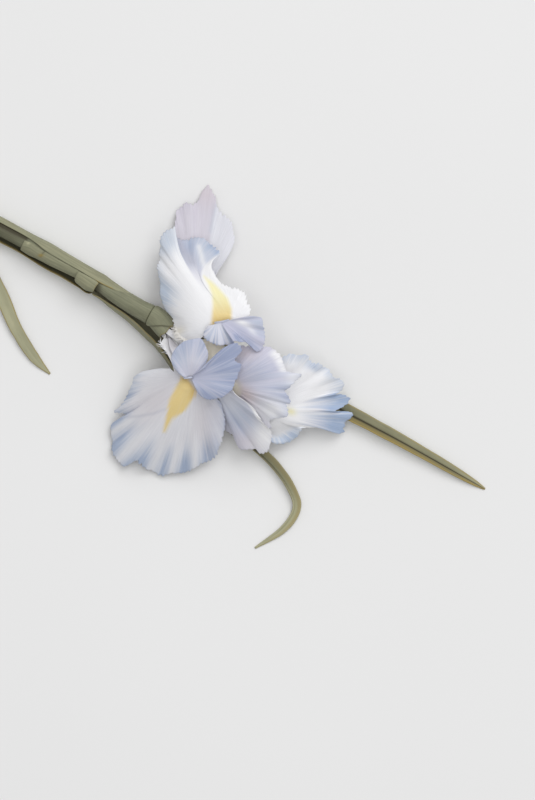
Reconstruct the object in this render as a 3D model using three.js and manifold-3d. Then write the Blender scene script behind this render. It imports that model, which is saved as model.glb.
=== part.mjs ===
// An iris flower on its cut stem, lying on a table. Millimetres, +Z up, table at z = 0.
//
// Plan positions are read from a top view drawn on squared paper: [column, row, height].
// Columns run to the right (+X) and rows down the sheet (-Y), GRID millimetres to a square.
// Petals, leaves and bracts are thin closed slabs around a middle surface.
import * as THREE from 'three';
import { mergeVertices } from 'three/addons/utils/BufferGeometryUtils.js';
import Module from 'manifold-3d';

// ---- driving dimensions, millimetres unless a name says otherwise ----
const GRID = 0.5;
const SHEET_CENTRE = [267.5, 400]; // the square straight below the eye of the top view
const EYE_HEIGHT = 2500; // the top view is drawn as seen from this height

const PETAL_THICKNESS = 0.8;
const STYLE_THICKNESS = 0.9;
const LEAF_THICKNESS = 0.8;
const SHEATH_THICKNESS = 0.7;
const BRACT_THICKNESS = 0.6;
const GAP = 0.3; // between pieces that touch

const STEM_RADIUS = 3.9;
const OVARY_RADIUS = 4.75;
const CUP_RADIUS = 5.8;
const CUP_WALL = 1.1;
const CUP_DEPTH = 4.5; // of the hollow that holds the petal bases
const CUP_BEND = 0.35; // of the way between the cup's ends, on which each end runs straight on
const PETAL_RING = 3.55; // radius on which the six petal claws stand in the cup
const STYLE_RING = 1.6;
const CLAW_HALF_WIDTH = 1.4;
const STYLE_HALF_WIDTH = 0.8;
const CLAW_DEPTHS = [CUP_DEPTH - GAP - 0.1, -0.8]; // below the cup's mouth, from foot to top

const COLOURS = {
  stem: 0x80826c,
  sheath: 0x8e8f6e,
  leaf: 0xa09e72,
  fall: 0xeef0f5,
  standard: 0xcdcfe2,
  style: 0xb4bbd6,
};

// ---- helpers ----

/** A drawing position and a height as a point, with the eye's perspective taken out. */
function spot([column, row, z]) {
  const shrink = 1 - z / EYE_HEIGHT;
  const x = (column - SHEET_CENTRE[0]) * GRID * shrink;
  const y = (SHEET_CENTRE[1] - row) * GRID * shrink;
  return new THREE.Vector3(x, y, z);
}

/** Catmull-Rom through rows of numbers of any length, with t from 0 to 1 over them all. */
function along(rows, t) {
  const last = rows.length - 1;
  const i = Math.min(Math.floor(t * last), last - 1);
  const f = t * last - i;
  return rows[0].map((_, k) => {
    const b = rows[i][k];
    const c = rows[i + 1][k];
    const a = i > 0 ? rows[i - 1][k] : 2 * b - c;
    const d = i + 2 <= last ? rows[i + 2][k] : 2 * c - b;
    const curve = 2 * a - 5 * b + 4 * c - d + f * (3 * b - 3 * c + d - a);
    return b + 0.5 * f * (c - a + f * curve);
  });
}

function grid(countS, countT, pointAt) {
  return Array.from({ length: countS }, (_, i) =>
    Array.from({ length: countT }, (_, j) => pointAt(i / (countS - 1), j / (countT - 1))),
  );
}

function geometryOf(points, triangles) {
  const geometry = new THREE.BufferGeometry().setFromPoints(points);
  geometry.setIndex(triangles.flat());
  return geometry;
}

/** The closed slab of a thickness around a grid of middle points. */
function slab(middle, thickness) {
  const rows = middle.length;
  const columns = middle[0].length;
  const { clamp } = THREE.MathUtils;
  const at = (i, j) => middle[clamp(i, 0, rows - 1)][clamp(j, 0, columns - 1)];
  const sides = [[], []];
  for (let i = 0; i < rows; i += 1) {
    for (let j = 0; j < columns; j += 1) {
      const lengthwise = at(i + 1, j).clone().sub(at(i - 1, j));
      const across = at(i, j + 1).clone().sub(at(i, j - 1));
      const normal = lengthwise.cross(across).setLength(thickness / 2);
      sides[0].push(at(i, j).clone().add(normal));
      sides[1].push(at(i, j).clone().sub(normal));
    }
  }
  const under = rows * columns;
  const triangles = [];
  const quad = (a, b, c, d) => triangles.push([a, b, c], [a, c, d]);
  for (let i = 0; i + 1 < rows; i += 1) {
    for (let j = 0; j + 1 < columns; j += 1) {
      const a = i * columns + j;
      quad(a, a + columns, a + columns + 1, a + 1);
      quad(under + a, under + a + 1, under + a + columns + 1, under + a + columns);
    }
  }
  const edge = (a, b) => quad(a, b, under + b, under + a);
  for (let j = 0; j + 1 < columns; j += 1) {
    edge(j, j + 1);
    edge((rows - 1) * columns + j + 1, (rows - 1) * columns + j);
  }
  for (let i = 0; i + 1 < rows; i += 1) {
    edge((i + 1) * columns, i * columns);
    edge(i * columns + columns - 1, (i + 1) * columns + columns - 1);
  }
  return geometryOf([...sides[0], ...sides[1]], triangles);
}

/** Level and upright unit vectors square to a direction. */
function crossAxes(direction) {
  const level = new THREE.Vector3(0, 0, 1).cross(direction).normalize();
  return [level, direction.clone().cross(level).normalize()];
}

/** A solid skinned over rings { centre, direction, radius }, closed at both ends. */
function ringSolid(rings, sides) {
  const points = [];
  const triangles = [];
  rings.forEach(({ centre, direction, radius }, i) => {
    const [level, upright] = crossAxes(direction);
    for (let j = 0; j < sides; j += 1) {
      const angle = (2 * Math.PI * j) / sides;
      const spoke = level.clone().multiplyScalar(Math.cos(angle) * radius);
      points.push(spoke.addScaledVector(upright, Math.sin(angle) * radius).add(centre));
    }
    if (i === 0) return;
    for (let j = 0; j < sides; j += 1) {
      const a = (i - 1) * sides + j;
      const b = (i - 1) * sides + ((j + 1) % sides);
      triangles.push([a, b, b + sides], [a, b + sides, a + sides]);
    }
  });
  const first = points.length;
  points.push(rings[0].centre.clone(), rings.at(-1).centre.clone());
  const end = (rings.length - 1) * sides;
  for (let j = 0; j < sides; j += 1) {
    const next = (j + 1) % sides;
    triangles.push([first, next, j], [first + 1, end + j, end + next]);
  }
  return geometryOf(points, triangles);
}

const wasm = await Module();
wasm.setup();

function solidOf(geometry) {
  const bare = geometry.clone();
  bare.deleteAttribute('normal');
  bare.deleteAttribute('uv');
  const merged = mergeVertices(bare, 1e-3);
  const vertProperties = Float32Array.from(merged.attributes.position.array);
  const triVerts = Uint32Array.from(merged.index.array);
  return new wasm.Manifold(new wasm.Mesh({ numProp: 3, vertProperties, triVerts }));
}

/** Several overlapping closed geometries grown together as one. */
function joined(geometries) {
  const whole = geometries.map(solidOf).reduce((sum, solid) => sum.add(solid));
  const { vertProperties, triVerts } = whole.getMesh();
  const geometry = new THREE.BufferGeometry();
  geometry.setAttribute('position', new THREE.BufferAttribute(vertProperties, 3));
  geometry.setIndex(new THREE.BufferAttribute(triVerts, 1));
  return geometry;
}

const iris = new THREE.Group();

function addPiece(name, geometry, color) {
  geometry.computeVertexNormals();
  const material = new THREE.MeshStandardMaterial({ color, roughness: 0.8, metalness: 0 });
  material.name = name;
  const mesh = new THREE.Mesh(geometry, material);
  mesh.name = name;
  iris.add(mesh);
}

// ---- stem ----

// [column, row, height, radius] along the axis, from the cut end to the cup's seam
const STEM_AXIS = [
  [-230, 110, 6.0, STEM_RADIUS],
  [-155, 149, 5.9, STEM_RADIUS],
  [-78, 188, 6.1, STEM_RADIUS],
  [0, 227.8, 6.8, STEM_RADIUS],
  [50, 254.3, 7.9, STEM_RADIUS + 0.3],
  [84, 272.7, 9.1, STEM_RADIUS + 0.3],
  [104, 283.8, 10.2, OVARY_RADIUS - 0.2],
  [127, 299, 11.7, OVARY_RADIUS],
  [150.5, 313, 13.4, OVARY_RADIUS - 0.05],
];

function axisPoint(axis, t) {
  const row = along(axis, t);
  return { centre: spot(row), rest: row.slice(3) };
}

function axisDirection(axis, t) {
  const step = 0.004;
  const ahead = axisPoint(axis, Math.min(t + step, 1)).centre;
  return ahead.sub(axisPoint(axis, Math.max(t - step, 0)).centre).normalize();
}

function tubeRings(axis, count) {
  return Array.from({ length: count }, (_, i) => {
    const t = i / (count - 1);
    const { centre, rest } = axisPoint(axis, t);
    return { centre, direction: axisDirection(axis, t), radius: rest[0] };
  });
}

addPiece('stem', ringSolid(tubeRings(STEM_AXIS, 19), 14), COLOURS.stem);

// ---- cup at the top of the stem, which holds the petal bases ----

const MOUTH = spot([168.5, 331.5, 15]);
const SEAM = spot([150.5, 313, 13.4]);
const MOUTH_DIRECTION = new THREE.Vector3(0.7, -0.7, 0.16).normalize();

/** The cup bends between the stem's direction at the seam and the mouth's own. */
function cupAxis(f) {
  const start = axisDirection(STEM_AXIS, 1);
  const reach = SEAM.distanceTo(MOUTH) * CUP_BEND;
  const curve = new THREE.CubicBezierCurve3(
    SEAM.clone().addScaledVector(start, GAP),
    SEAM.clone().addScaledVector(start, reach),
    MOUTH.clone().addScaledVector(MOUTH_DIRECTION, -reach),
    MOUTH,
  );
  return { centre: curve.getPoint(f), direction: curve.getTangent(f) };
}

function cup() {
  // [way along the axis, radius]
  const outside = [
    [0, OVARY_RADIUS + 0.2],
    [0.06, OVARY_RADIUS + 0.5],
    [0.3, CUP_RADIUS - 0.3],
    [0.55, CUP_RADIUS],
    [0.8, CUP_RADIUS],
    [1, CUP_RADIUS - 0.2],
  ].map(([f, radius]) => ({ ...cupAxis(f), radius }));
  const inside = [0, 0.5, 1].map((f) => ({
    centre: MOUTH.clone().addScaledVector(MOUTH_DIRECTION, -CUP_DEPTH * f),
    direction: MOUTH_DIRECTION,
    radius: CUP_RADIUS - CUP_WALL - 0.2 * f,
  }));
  return ringSolid([...outside, ...inside], 18);
}

addPiece('calyx_cup', cup(), COLOURS.stem);

// ---- the long sheath around the stem and the two bracts in it ----

/**
 * An arc-shaped channel from sections [column, row, height, radius, first angle, last angle,
 * radius at the last angle].
 */
function channel(sections, lengthSteps, arcSteps, thickness) {
  const middle = grid(lengthSteps, arcSteps, (s, t) => {
    const { centre, rest } = axisPoint(sections, s);
    const [level, upright] = crossAxes(axisDirection(sections, s));
    const [firstRadius, firstAngle, lastAngle, lastRadius] = rest;
    const angle = THREE.MathUtils.degToRad(THREE.MathUtils.lerp(firstAngle, lastAngle, t));
    const radius = firstRadius + (lastRadius - firstRadius) * THREE.MathUtils.smoothstep(t, 0, 1);
    const out = level.multiplyScalar(Math.cos(angle)).addScaledVector(upright, Math.sin(angle));
    return centre.addScaledVector(out, radius);
  });
  return slab(middle, thickness);
}

// Angles are measured from the stem's far side over its top: 0 far, 90 top, 180 near.
const SHEATH = [
  [-160, 146.4, 5.9, 4.65, 60, -172, 4.9],
  [-120, 166.8, 5.95, 4.65, 58, -172, 5.3],
  [-60, 197.1, 6.2, 4.65, 58, -172, 5.8],
  [0, 227.8, 6.8, 4.65, 58, -172, 6.45],
  [26, 241.6, 7.35, 4.75, 58, -172, 6.4],
  [48, 253.2, 7.9, 4.95, 82, -172, 7.4],
  [66, 262.9, 8.4, 4.95, 84, -172, 7.65],
  [84, 272.7, 9.1, 4.9, 83, -172, 8.2],
  [95, 278.7, 9.6, 5.0, 80, -168, 8.3],
  [103, 283.2, 10.15, 5.15, 78, -70, 6.0],
  [113, 289.7, 10.85, 5.25, 72, -50, 5.3],
  [124, 297, 11.5, 5.35, 46, -30, 5.35],
  [134, 303.1, 12.15, 5.35, 12, -16, 5.35],
];
const BRACT_1 = [
  [25, 241.1, 7.35, 4.75, 84, 200, 4.75],
  [33, 245.3, 7.5, 5.2, 80, 212, 5.2],
  [42, 250.1, 7.75, 4.9, 84, 214, 4.9],
  [55, 257.0, 8.05, 4.85, 87, 222, 4.85],
  [68, 264.1, 8.5, 4.85, 88, 222, 4.85],
  [82, 271.6, 9.0, 4.8, 87, 215, 4.8],
];
const BRACT_2 = [
  [80.5, 270.9, 8.95, 5.65, 96, 158, 6.0],
  [83.5, 272.5, 9.1, 5.7, 88, 172, 6.9],
  [92, 277, 9.5, 5.7, 83, 176, 7.6],
  [97.5, 280.1, 9.8, 5.65, 82, 171, 6.6],
  [99.5, 281.2, 9.9, 5.65, 86, 158, 5.8],
];

addPiece('stem_sheath', channel(SHEATH, 30, 13, SHEATH_THICKNESS), COLOURS.sheath);
addPiece('bract_1', channel(BRACT_1, 11, 7, BRACT_THICKNESS), COLOURS.sheath);
addPiece('bract_2', channel(BRACT_2, 9, 7, BRACT_THICKNESS), COLOURS.sheath);

// ---- leaves and spathes: strips folded along a keel ----

/**
 * A folded strip from sections [column, row, keel height, left wall, its angle, right wall,
 * its angle]. Walls are widths in mm, and angles are degrees above level, outward from the keel.
 */
function foldedLeaf(sections, lengthSteps, acrossSteps = 5) {
  const middle = grid(lengthSteps, acrossSteps, (s, t) => {
    const { centre, rest } = axisPoint(sections, s);
    const [level, upright] = crossAxes(axisDirection(sections, s));
    const [leftWall, leftAngle, rightWall, rightAngle] = rest;
    const side = 1 - 2 * t;
    const width = side > 0 ? leftWall * side : -rightWall * side;
    const angle = THREE.MathUtils.degToRad(side > 0 ? leftAngle : rightAngle);
    const out = Math.cos(angle) * width * Math.sign(side);
    return centre.addScaledVector(level, out).addScaledVector(upright, Math.sin(angle) * width);
  });
  return slab(middle, LEAF_THICKNESS);
}

const LOWER_LEAF = [
  [-112, 185.5, 5.6, 2.2, 96, 2.2, -84],
  [-84, 200.0, 5.8, 2.8, 88, 2.8, -76],
  [-50, 223.2, 5.6, 3.2, 55, 3.2, -40],
  [-22, 253, 4.4, 3.5, 22, 3.5, -8],
  [0, 292, 3.0, 3.5, 14, 3.6, 8],
  [16, 328, 2.0, 3.1, 14, 3.2, 10],
  [34, 357, 1.2, 2.6, 12, 2.6, 8],
  [50, 374, 0.6, 0.5, 0, 0.5, 0],
];
const NEAR_SPATHE = [
  [92, 293.4, 9.4, 2.3, -23, 1.0, 100],
  [99.5, 297.2, 7.8, 3.3, -24, 2.4, 108],
  [110.5, 306.3, 6.2, 4.1, -24, 4.3, 114],
  [130.3, 322, 4.6, 6.0, -8, 6.5, 114],
  [150.8, 342.2, 4.4, 6.4, -6, 6.6, 110],
  [166.3, 362, 4.2, 6.0, 0, 6.0, 106],
  [186, 390, 3.0, 5.2, 10, 5.2, 98],
  [218, 421, 2.2, 4.6, 22, 4.6, 64],
  [248, 444, 1.6, 4.2, 30, 4.2, 48],
  [271, 464.5, 1.4, 4.0, 26, 4.0, 44],
  [288, 487, 1.2, 3.6, 24, 3.8, 44],
  [295, 508, 1.0, 3.2, 22, 3.2, 40],
  [282, 529, 0.8, 2.4, 20, 2.4, 30],
  [255, 548, 0.6, 0.5, 0, 0.5, 0],
];
const FAR_SPATHE = [
  [107, 286, 4.9, 2.4, 20, 2.2, 20],
  [120, 293.5, 4.4, 3.0, 30, 2.6, 28],
  [146, 310, 2.6, 3.6, 38, 3.0, 34],
  [180, 328, 1.6, 4.0, 40, 3.8, 40],
  [240, 359, 1.6, 4.6, 38, 4.6, 46],
  [300, 388.5, 1.8, 5.2, 36, 5.2, 52],
  [349, 414, 2.2, 5.2, 34, 5.0, 54],
  [400, 441, 1.8, 4.4, 34, 4.4, 54],
  [448, 468, 1.2, 3.2, 30, 3.2, 50],
  [472, 481.5, 0.8, 1.8, 20, 1.8, 34],
  [485, 489, 0.6, 0.5, 0, 0.5, 0],
];

addPiece('lower_leaf', foldedLeaf(LOWER_LEAF, 18), COLOURS.leaf);
addPiece('near_spathe', foldedLeaf(NEAR_SPATHE, 28), COLOURS.leaf);
addPiece('far_spathe', foldedLeaf(FAR_SPATHE, 24), COLOURS.leaf);

// ---- petals and style arms ----

/** The rows of a claw that stands in the cup at an angle round its axis. */
function clawRows(angleDeg, flip, ringRadius, halfWidth) {
  const [level, upright] = crossAxes(MOUTH_DIRECTION);
  const angle = THREE.MathUtils.degToRad(angleDeg);
  const cos = Math.cos(angle);
  const sin = Math.sin(angle);
  const radial = level.clone().multiplyScalar(cos).addScaledVector(upright, sin);
  const tangent = level.clone().multiplyScalar(-sin).addScaledVector(upright, cos);
  const sides = flip ? [-1, 0, 1] : [1, 0, -1];
  return CLAW_DEPTHS.map((depth) => {
    const centre = MOUTH.clone().addScaledVector(MOUTH_DIRECTION, -depth);
    centre.addScaledVector(radial, ringRadius);
    return sides.map((side) => centre.clone().addScaledVector(tangent, side * halfWidth).toArray());
  });
}

const drawn = (row) => row.map((point) => [...spot(point).toArray(), point[3] ?? 0]);

/**
 * The rows of a blade from its base row to its rim. A rim point's fourth number lifts the
 * middle of its vein, and the drape says how late a vein falls to the rim's height.
 */
function bladeRows(base, rim, drape) {
  const foot = drawn(base);
  const edge = drawn(rim);
  return [1 / 3, 2 / 3, 1].map((f) =>
    edge.map((_, j) => {
      const t = j / (edge.length - 1);
      const a = along(foot, t);
      const b = edge[j];
      const z = a[2] + (b[2] - a[2]) * f ** drape + b[3] * Math.sin(Math.PI * f);
      return [a[0] + (b[0] - a[0]) * f, a[1] + (b[1] - a[1]) * f, z];
    }),
  );
}

/** A thin slab over rows that each hold their own number of points. */
function sheet(rows, lengthSteps, acrossSteps, thickness) {
  const middle = grid(lengthSteps, acrossSteps, (s, t) => {
    const vein = rows.map((row) => along(row, t).slice(0, 3));
    return new THREE.Vector3(...along(vein, s));
  });
  return slab(middle, thickness);
}

/** A whole petal: claw in the cup, haft, and blade. flip swaps the claw's two edges. */
function petal({ angle, flip, haft, base, rim, drape }, lengthSteps, acrossSteps) {
  const claw = clawRows(angle, flip, PETAL_RING, CLAW_HALF_WIDTH);
  const rows = [...claw, ...haft.map(drawn), drawn(base), ...bladeRows(base, rim, drape)];
  return sheet(rows, lengthSteps, acrossSteps, PETAL_THICKNESS);
}

// Haft rows run from the claw to the blade, each from the petal's first edge to its last.
const FALL_1 = {
  angle: 30,
  flip: false,
  haft: [
    [[193.5, 327, 20], [195, 331, 18], [196.5, 335, 17]],
    [[208, 331, 26], [212, 336.5, 23.5], [215, 341, 22]],
    [[215, 329, 32], [222, 334, 30.5], [229, 338, 30]],
  ],
  base: [[207, 332, 34.5], [210, 325, 35.5], [218, 320, 36], [228, 318, 36], [239, 320, 35.5]],
  rim: [
    [199.7, 338, 34], [182, 338, 26.5, 2], [171, 316, 21.5, 2], [160, 294, 20.5, 2], [158, 277, 20, 2],
    [159, 256, 20, 2], [159.5, 240, 20.5, 2], [166, 232, 21, 2], [175.3, 226.5, 22, 2],
    [180, 240, 12.5], [196, 237.5, 12.5], [208, 242, 14], [219, 253.5, 20], [212, 262, 27],
    [218, 277, 31], [233, 286, 33], [249, 301, 33], [247, 315.5, 35],
  ],
  drape: 1.3,
};
const FALL_2 = {
  angle: 150,
  flip: true,
  haft: [
    [[164.5, 346, 20], [169, 347.5, 18.5], [174, 348, 18]],
    [[167, 360, 26], [174, 360, 24.5], [181, 358.5, 25]],
    [[172, 369.5, 31], [181, 370, 30], [190, 367, 31]],
  ],
  base: [[174, 372, 32.5], [179, 380, 33.5], [187, 385, 34], [196, 388, 33.5], [203, 391, 32.5]],
  rim: [
    [170, 368.5, 30], [153, 370, 23], [136, 376.5, 17], [130, 389, 14], [125, 402, 11],
    [112, 412, 7], [126, 416.5, 9], [117, 419.5, 6], [110.5, 430, 4], [112, 445, 3.5],
    [115, 458, 4], [124, 466.5, 5], [139, 460.5, 8], [147, 470.5, 4], [160, 475.5, 3.5],
    [173, 473, 5], [187, 471, 6], [203, 462.5, 9], [216, 454, 12], [224, 436, 16],
    [224, 420, 19], [217, 400, 25], [206, 394, 29],
  ],
  drape: 1.3,
};
const FALL_3 = {
  angle: 270,
  flip: false,
  haft: [
    [[190, 341, 10], [187, 345, 9.5], [183.5, 348.5, 10]],
    [[212, 357, 10], [208, 361, 9.5], [204, 365, 10]],
    [[235, 374, 12.5], [230, 379, 12], [225.5, 384, 12.5]],
    [[256, 391, 17], [250, 397, 16], [245, 403, 16.5]],
  ],
  base: [[268, 396, 20], [273, 402, 20.5], [275, 409, 20.5], [272, 417, 20], [265, 423, 18.5]],
  rim: [
    [268, 380, 22], [279, 357, 24], [291, 353.5, 24], [304, 354, 24], [311, 361, 23],
    [320, 363.5, 22], [331, 374, 20], [343, 382, 18], [343.5, 388, 16], [334.5, 393.5, 18],
    [344, 395, 13], [349, 398, 11], [344, 405, 12], [335.5, 410.5, 15], [349, 412, 9],
    [351.5, 415.5, 8], [343.5, 422.5, 8], [343.5, 431, 6], [336, 434, 7], [326, 428.5, 9],
    [312, 428, 12], [303, 427.5, 13], [299, 433, 8], [290, 441, 7], [280, 443.5, 7.5],
    [269, 441.5, 9], [262, 432, 12],
  ],
  drape: 1.3,
};
const STANDARD_1 = {
  angle: 330,
  flip: false,
  haft: [
    [[182, 320.5, 11.5], [185.5, 323.5, 11], [189, 326.5, 11]],
    [[182, 303, 10.5], [189, 306, 10.5], [196, 309, 10.5]],
  ],
  base: [[184, 290, 10], [192, 286, 10.5], [201, 285, 11], [211, 287, 11.5]],
  rim: [
    [179, 272, 9.5], [176, 250, 7], [175.5, 228, 5.5], [175.6, 211, 4.5], [183, 203, 4],
    [190, 204.5, 4], [197.4, 203, 3.5], [201, 195, 2.5], [207.7, 185.2, 0.6], [214.6, 197, 2.5],
    [217, 207.6, 4], [225, 219, 6.5], [233, 225, 8], [235.3, 240, 9], [232, 249, 10],
    [225, 260, 11], [214.6, 274, 12],
  ],
  drape: 1,
};
const STANDARD_2 = {
  angle: 90,
  flip: true,
  haft: [
    [[190, 339, 20.5], [187, 343, 20.5], [183.5, 346.5, 20.5]],
    [[209, 350, 23], [205, 354.5, 22.5], [201, 359, 23]],
    [[223, 363, 27], [219, 368.5, 26.5], [214.5, 374, 26.5]],
  ],
  base: [[228, 373, 31], [233, 379.5, 32], [237, 386, 32], [238, 392.5, 31], [234, 397, 28]],
  rim: [
    [236, 357, 34], [240, 346.5, 36], [248, 348, 37, 1], [257, 351.5, 38, 3], [266, 348, 38, 4],
    [275, 350, 38, 5], [279, 362, 39, 5], [287, 372, 38, 5], [301, 375, 36, 5], [289, 388, 37, 5],
    [285, 391.5, 37, 5], [291, 402, 35, 5], [284, 404.6, 35, 4], [288.5, 411, 33, 4],
    [287, 418, 31.5, 3], [277, 419.5, 30, 2], [270, 425, 24, 1], [270.5, 431, 19.5],
    [262, 418, 26], [250, 406, 27],
  ],
  drape: 0.8,
};
const STANDARD_3 = {
  angle: 210,
  flip: true,
  haft: [
    [[171, 350, 14.5], [176, 350.5, 12.5], [180, 350.5, 11.5]],
    [[184, 366, 15], [190, 364.5, 14], [195.5, 362, 14]],
    [[197, 385, 17], [204, 381.5, 18.5], [211, 377, 20.5]],
  ],
  base: [[211, 398, 19], [218, 396.5, 24.5], [225, 393.5, 30], [230.5, 390, 34.5]],
  rim: [
    [213, 403, 15.5], [217, 412, 12], [221, 424, 10], [226, 431, 9], [232.6, 435, 8.5],
    [236.5, 445, 7], [244, 450.5, 7], [254, 450, 8], [261, 453, 8.5], [267.5, 448.5, 12],
    [270, 439, 18], [269.5, 431, 24], [264.5, 423.5, 29], [258.5, 415.5, 32.5],
    [252, 406, 35], [244, 400, 36.5], [236, 392.5, 37],
  ],
  drape: 1,
};

addPiece('fall_1', petal(FALL_1, 12, 24), COLOURS.fall);
addPiece('fall_2', petal(FALL_2, 12, 26), COLOURS.fall);
addPiece('fall_3', petal(FALL_3, 13, 26), COLOURS.fall);
addPiece('standard_1', petal(STANDARD_1, 10, 20), COLOURS.standard);
addPiece('standard_2', petal(STANDARD_2, 11, 21), COLOURS.standard);
addPiece('standard_3', petal(STANDARD_3, 11, 20), COLOURS.standard);

/** A style arm: a narrow strip from the cup, with two crest lobes folded back from its tip. */
function styleArm({ angle, flip, arm, crests }) {
  const claw = clawRows(angle, flip, STYLE_RING, STYLE_HALF_WIDTH);
  const strip = sheet([...claw, ...arm.map(drawn)], 13, 3, STYLE_THICKNESS);
  const lobes = crests.map(({ base, rim }) =>
    sheet([drawn(base), ...bladeRows(base, rim, 0.8)], 5, 12, STYLE_THICKNESS),
  );
  return joined([strip, ...lobes]);
}

const STYLE_ARM_1 = {
  angle: 30,
  flip: false,
  arm: [
    [[194, 330.5, 22], [196, 333, 20.8], [198, 336, 20]],
    [[215, 335.5, 31.5], [218, 339.5, 30.5], [221.5, 343, 30]],
    [[218, 329, 37.5], [224.5, 331.5, 36.8], [231, 333, 36.5]],
    [[214, 319, 39.5], [221, 318, 40], [229, 316.5, 39.5]],
  ],
  crests: [
    {
      base: [[214, 322, 39.4], [217, 320.5, 39.8], [221, 320, 39.9]],
      rim: [
        [203, 328, 40.5, 1], [199, 331.5, 40, 1], [199.5, 335.7, 40, 1], [206, 338.5, 40.5, 1],
        [212, 342, 41, 1], [218, 345.3, 41, 1], [227, 344.3, 41, 1], [235, 343.2, 41, 1],
        [236, 338, 41.5, 1],
      ],
    },
    {
      base: [[221, 320.5, 39.9], [225, 319, 39.9], [229, 318, 39.6]],
      rim: [
        [233, 341, 45, 1], [241, 342, 44, 1], [247, 342, 43, 1], [253, 348.5, 42, 1],
        [258, 351.5, 42, 1], [265, 338, 41, 1], [263.5, 327, 41, 1], [261, 318.5, 41.5, 1],
        [253, 316, 42, 1], [244.6, 316.2, 42.5, 1],
      ],
    },
  ],
};
const STYLE_ARM_2 = {
  angle: 150,
  flip: true,
  arm: [
    [[169.5, 346, 23.5], [173.5, 346.5, 22.5], [177.5, 346, 22]],
    [[175.5, 361, 32], [181, 360.5, 31], [186.5, 358.5, 31.5]],
    [[181, 374, 38], [187, 373, 37.5], [193.5, 370.5, 38]],
    [[184, 379, 38.5], [189.5, 378.5, 38.7], [195, 377, 38.5]],
  ],
  crests: [
    {
      base: [[186, 377.5, 38.6], [189, 376.5, 38.7], [192.5, 376, 38.6]],
      rim: [
        [181, 375.5, 40, 1], [175, 369, 41, 1], [172, 360.6, 42, 1], [173, 354, 42.5, 1],
        [178, 347, 43.5, 1], [183, 343, 44, 1], [190.5, 339.6, 44.5, 1], [197, 338, 44.5, 1],
        [202, 339.6, 44.5, 1], [207.7, 348.5, 43.5, 1], [207.7, 357.4, 42, 1], [203.5, 366, 40.5, 1],
      ],
    },
    {
      base: [[192, 376, 38.6], [193, 378, 38.6], [192, 380, 38.5]],
      rim: [
        [204.6, 368, 44, 1], [212.8, 359, 45, 1], [219, 352, 45.5, 1], [225.6, 347, 45.5, 1],
        [235, 343.4, 46, 1], [240, 349, 45.5, 1], [240.5, 355, 45, 1], [234, 361, 44.5, 1],
        [241.6, 364.4, 44, 1], [239.6, 371.5, 43.5, 1], [237, 380, 43, 1], [232.6, 389, 42.5, 1],
        [222.4, 397.6, 41, 1], [210, 400, 39.5, 1], [200.7, 394.4, 38.5, 1],
      ],
    },
  ],
};
const STYLE_ARM_3 = {
  angle: 270,
  flip: false,
  arm: [
    [[189.5, 342.5, 14], [187, 345, 13.5], [184.5, 347.5, 14]],
    [[210, 359, 14.5], [207.5, 361.5, 14], [205, 364, 14.5]],
    [[233, 375.5, 17.5], [230, 378.5, 17], [227, 381.5, 17.5]],
    [[254, 389, 22], [249.5, 393.5, 21.5], [245, 398, 22]],
    [[266, 399, 23.5], [262.5, 404.5, 23.5], [258, 409.5, 23.5]],
  ],
  crests: [
    {
      base: [[265, 398.5, 23.4], [263.5, 400.5, 23.5], [261.5, 402, 23.5]],
      rim: [
        [270, 396, 25, 0.5], [272, 388, 27, 0.5], [268, 380, 29, 0.5], [260, 378, 29.5, 0.5],
        [253, 383, 28.5, 0.5], [252, 391, 26.5, 0.5],
      ],
    },
    {
      base: [[261.5, 403, 23.5], [260, 405, 23.5], [258, 408, 23.4]],
      rim: [
        [251, 393, 25.5, 0.5], [247, 393, 25, 0.5], [243, 399, 24, 0.5], [244, 406, 23, 0.5],
        [250, 411, 23, 0.5], [256, 412, 23, 0.5],
      ],
    },
  ],
};

addPiece('style_arm_1', styleArm(STYLE_ARM_1), COLOURS.style);
addPiece('style_arm_2', styleArm(STYLE_ARM_2), COLOURS.style);
addPiece('style_arm_3', styleArm(STYLE_ARM_3), COLOURS.style);

// ---- origin: the middle of the flower's box in plan, on the table ----

const box = new THREE.Box3().setFromObject(iris, true);
const centre = box.getCenter(new THREE.Vector3());
iris.position.set(-centre.x, -centre.y, -box.min.z);
iris.updateMatrixWorld(true);

export default iris;
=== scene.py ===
# The looks of an iris flower that lies on a pale table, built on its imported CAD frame.
#
# Plan positions come as [column, row, height]: sheet squares of GRID mm and heights in mm.
import math

import bpy
import numpy as np
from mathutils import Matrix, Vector


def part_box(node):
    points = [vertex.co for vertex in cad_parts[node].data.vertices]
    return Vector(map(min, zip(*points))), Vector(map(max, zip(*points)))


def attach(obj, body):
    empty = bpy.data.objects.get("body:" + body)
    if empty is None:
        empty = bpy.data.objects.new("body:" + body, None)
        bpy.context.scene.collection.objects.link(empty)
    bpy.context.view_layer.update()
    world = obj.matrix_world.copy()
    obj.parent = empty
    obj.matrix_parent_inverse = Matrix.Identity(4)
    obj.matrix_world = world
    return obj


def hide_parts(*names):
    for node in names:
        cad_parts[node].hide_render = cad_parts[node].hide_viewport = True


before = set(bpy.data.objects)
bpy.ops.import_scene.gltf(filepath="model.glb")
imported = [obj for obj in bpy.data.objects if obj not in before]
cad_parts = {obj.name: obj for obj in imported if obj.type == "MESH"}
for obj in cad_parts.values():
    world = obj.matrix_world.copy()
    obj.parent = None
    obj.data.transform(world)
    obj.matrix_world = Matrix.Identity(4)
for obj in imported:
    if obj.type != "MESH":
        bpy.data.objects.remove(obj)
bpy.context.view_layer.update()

# ---- driving dimensions, millimetres unless a name says otherwise ----
GRID = 0.5
SHEET_CENTRE = (267.5, 400)  # the square straight below the camera
EYE_HEIGHT = 2500
SHEET_HEIGHT = 400  # what the picture's long side spans on the table
MM = 0.001

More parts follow.
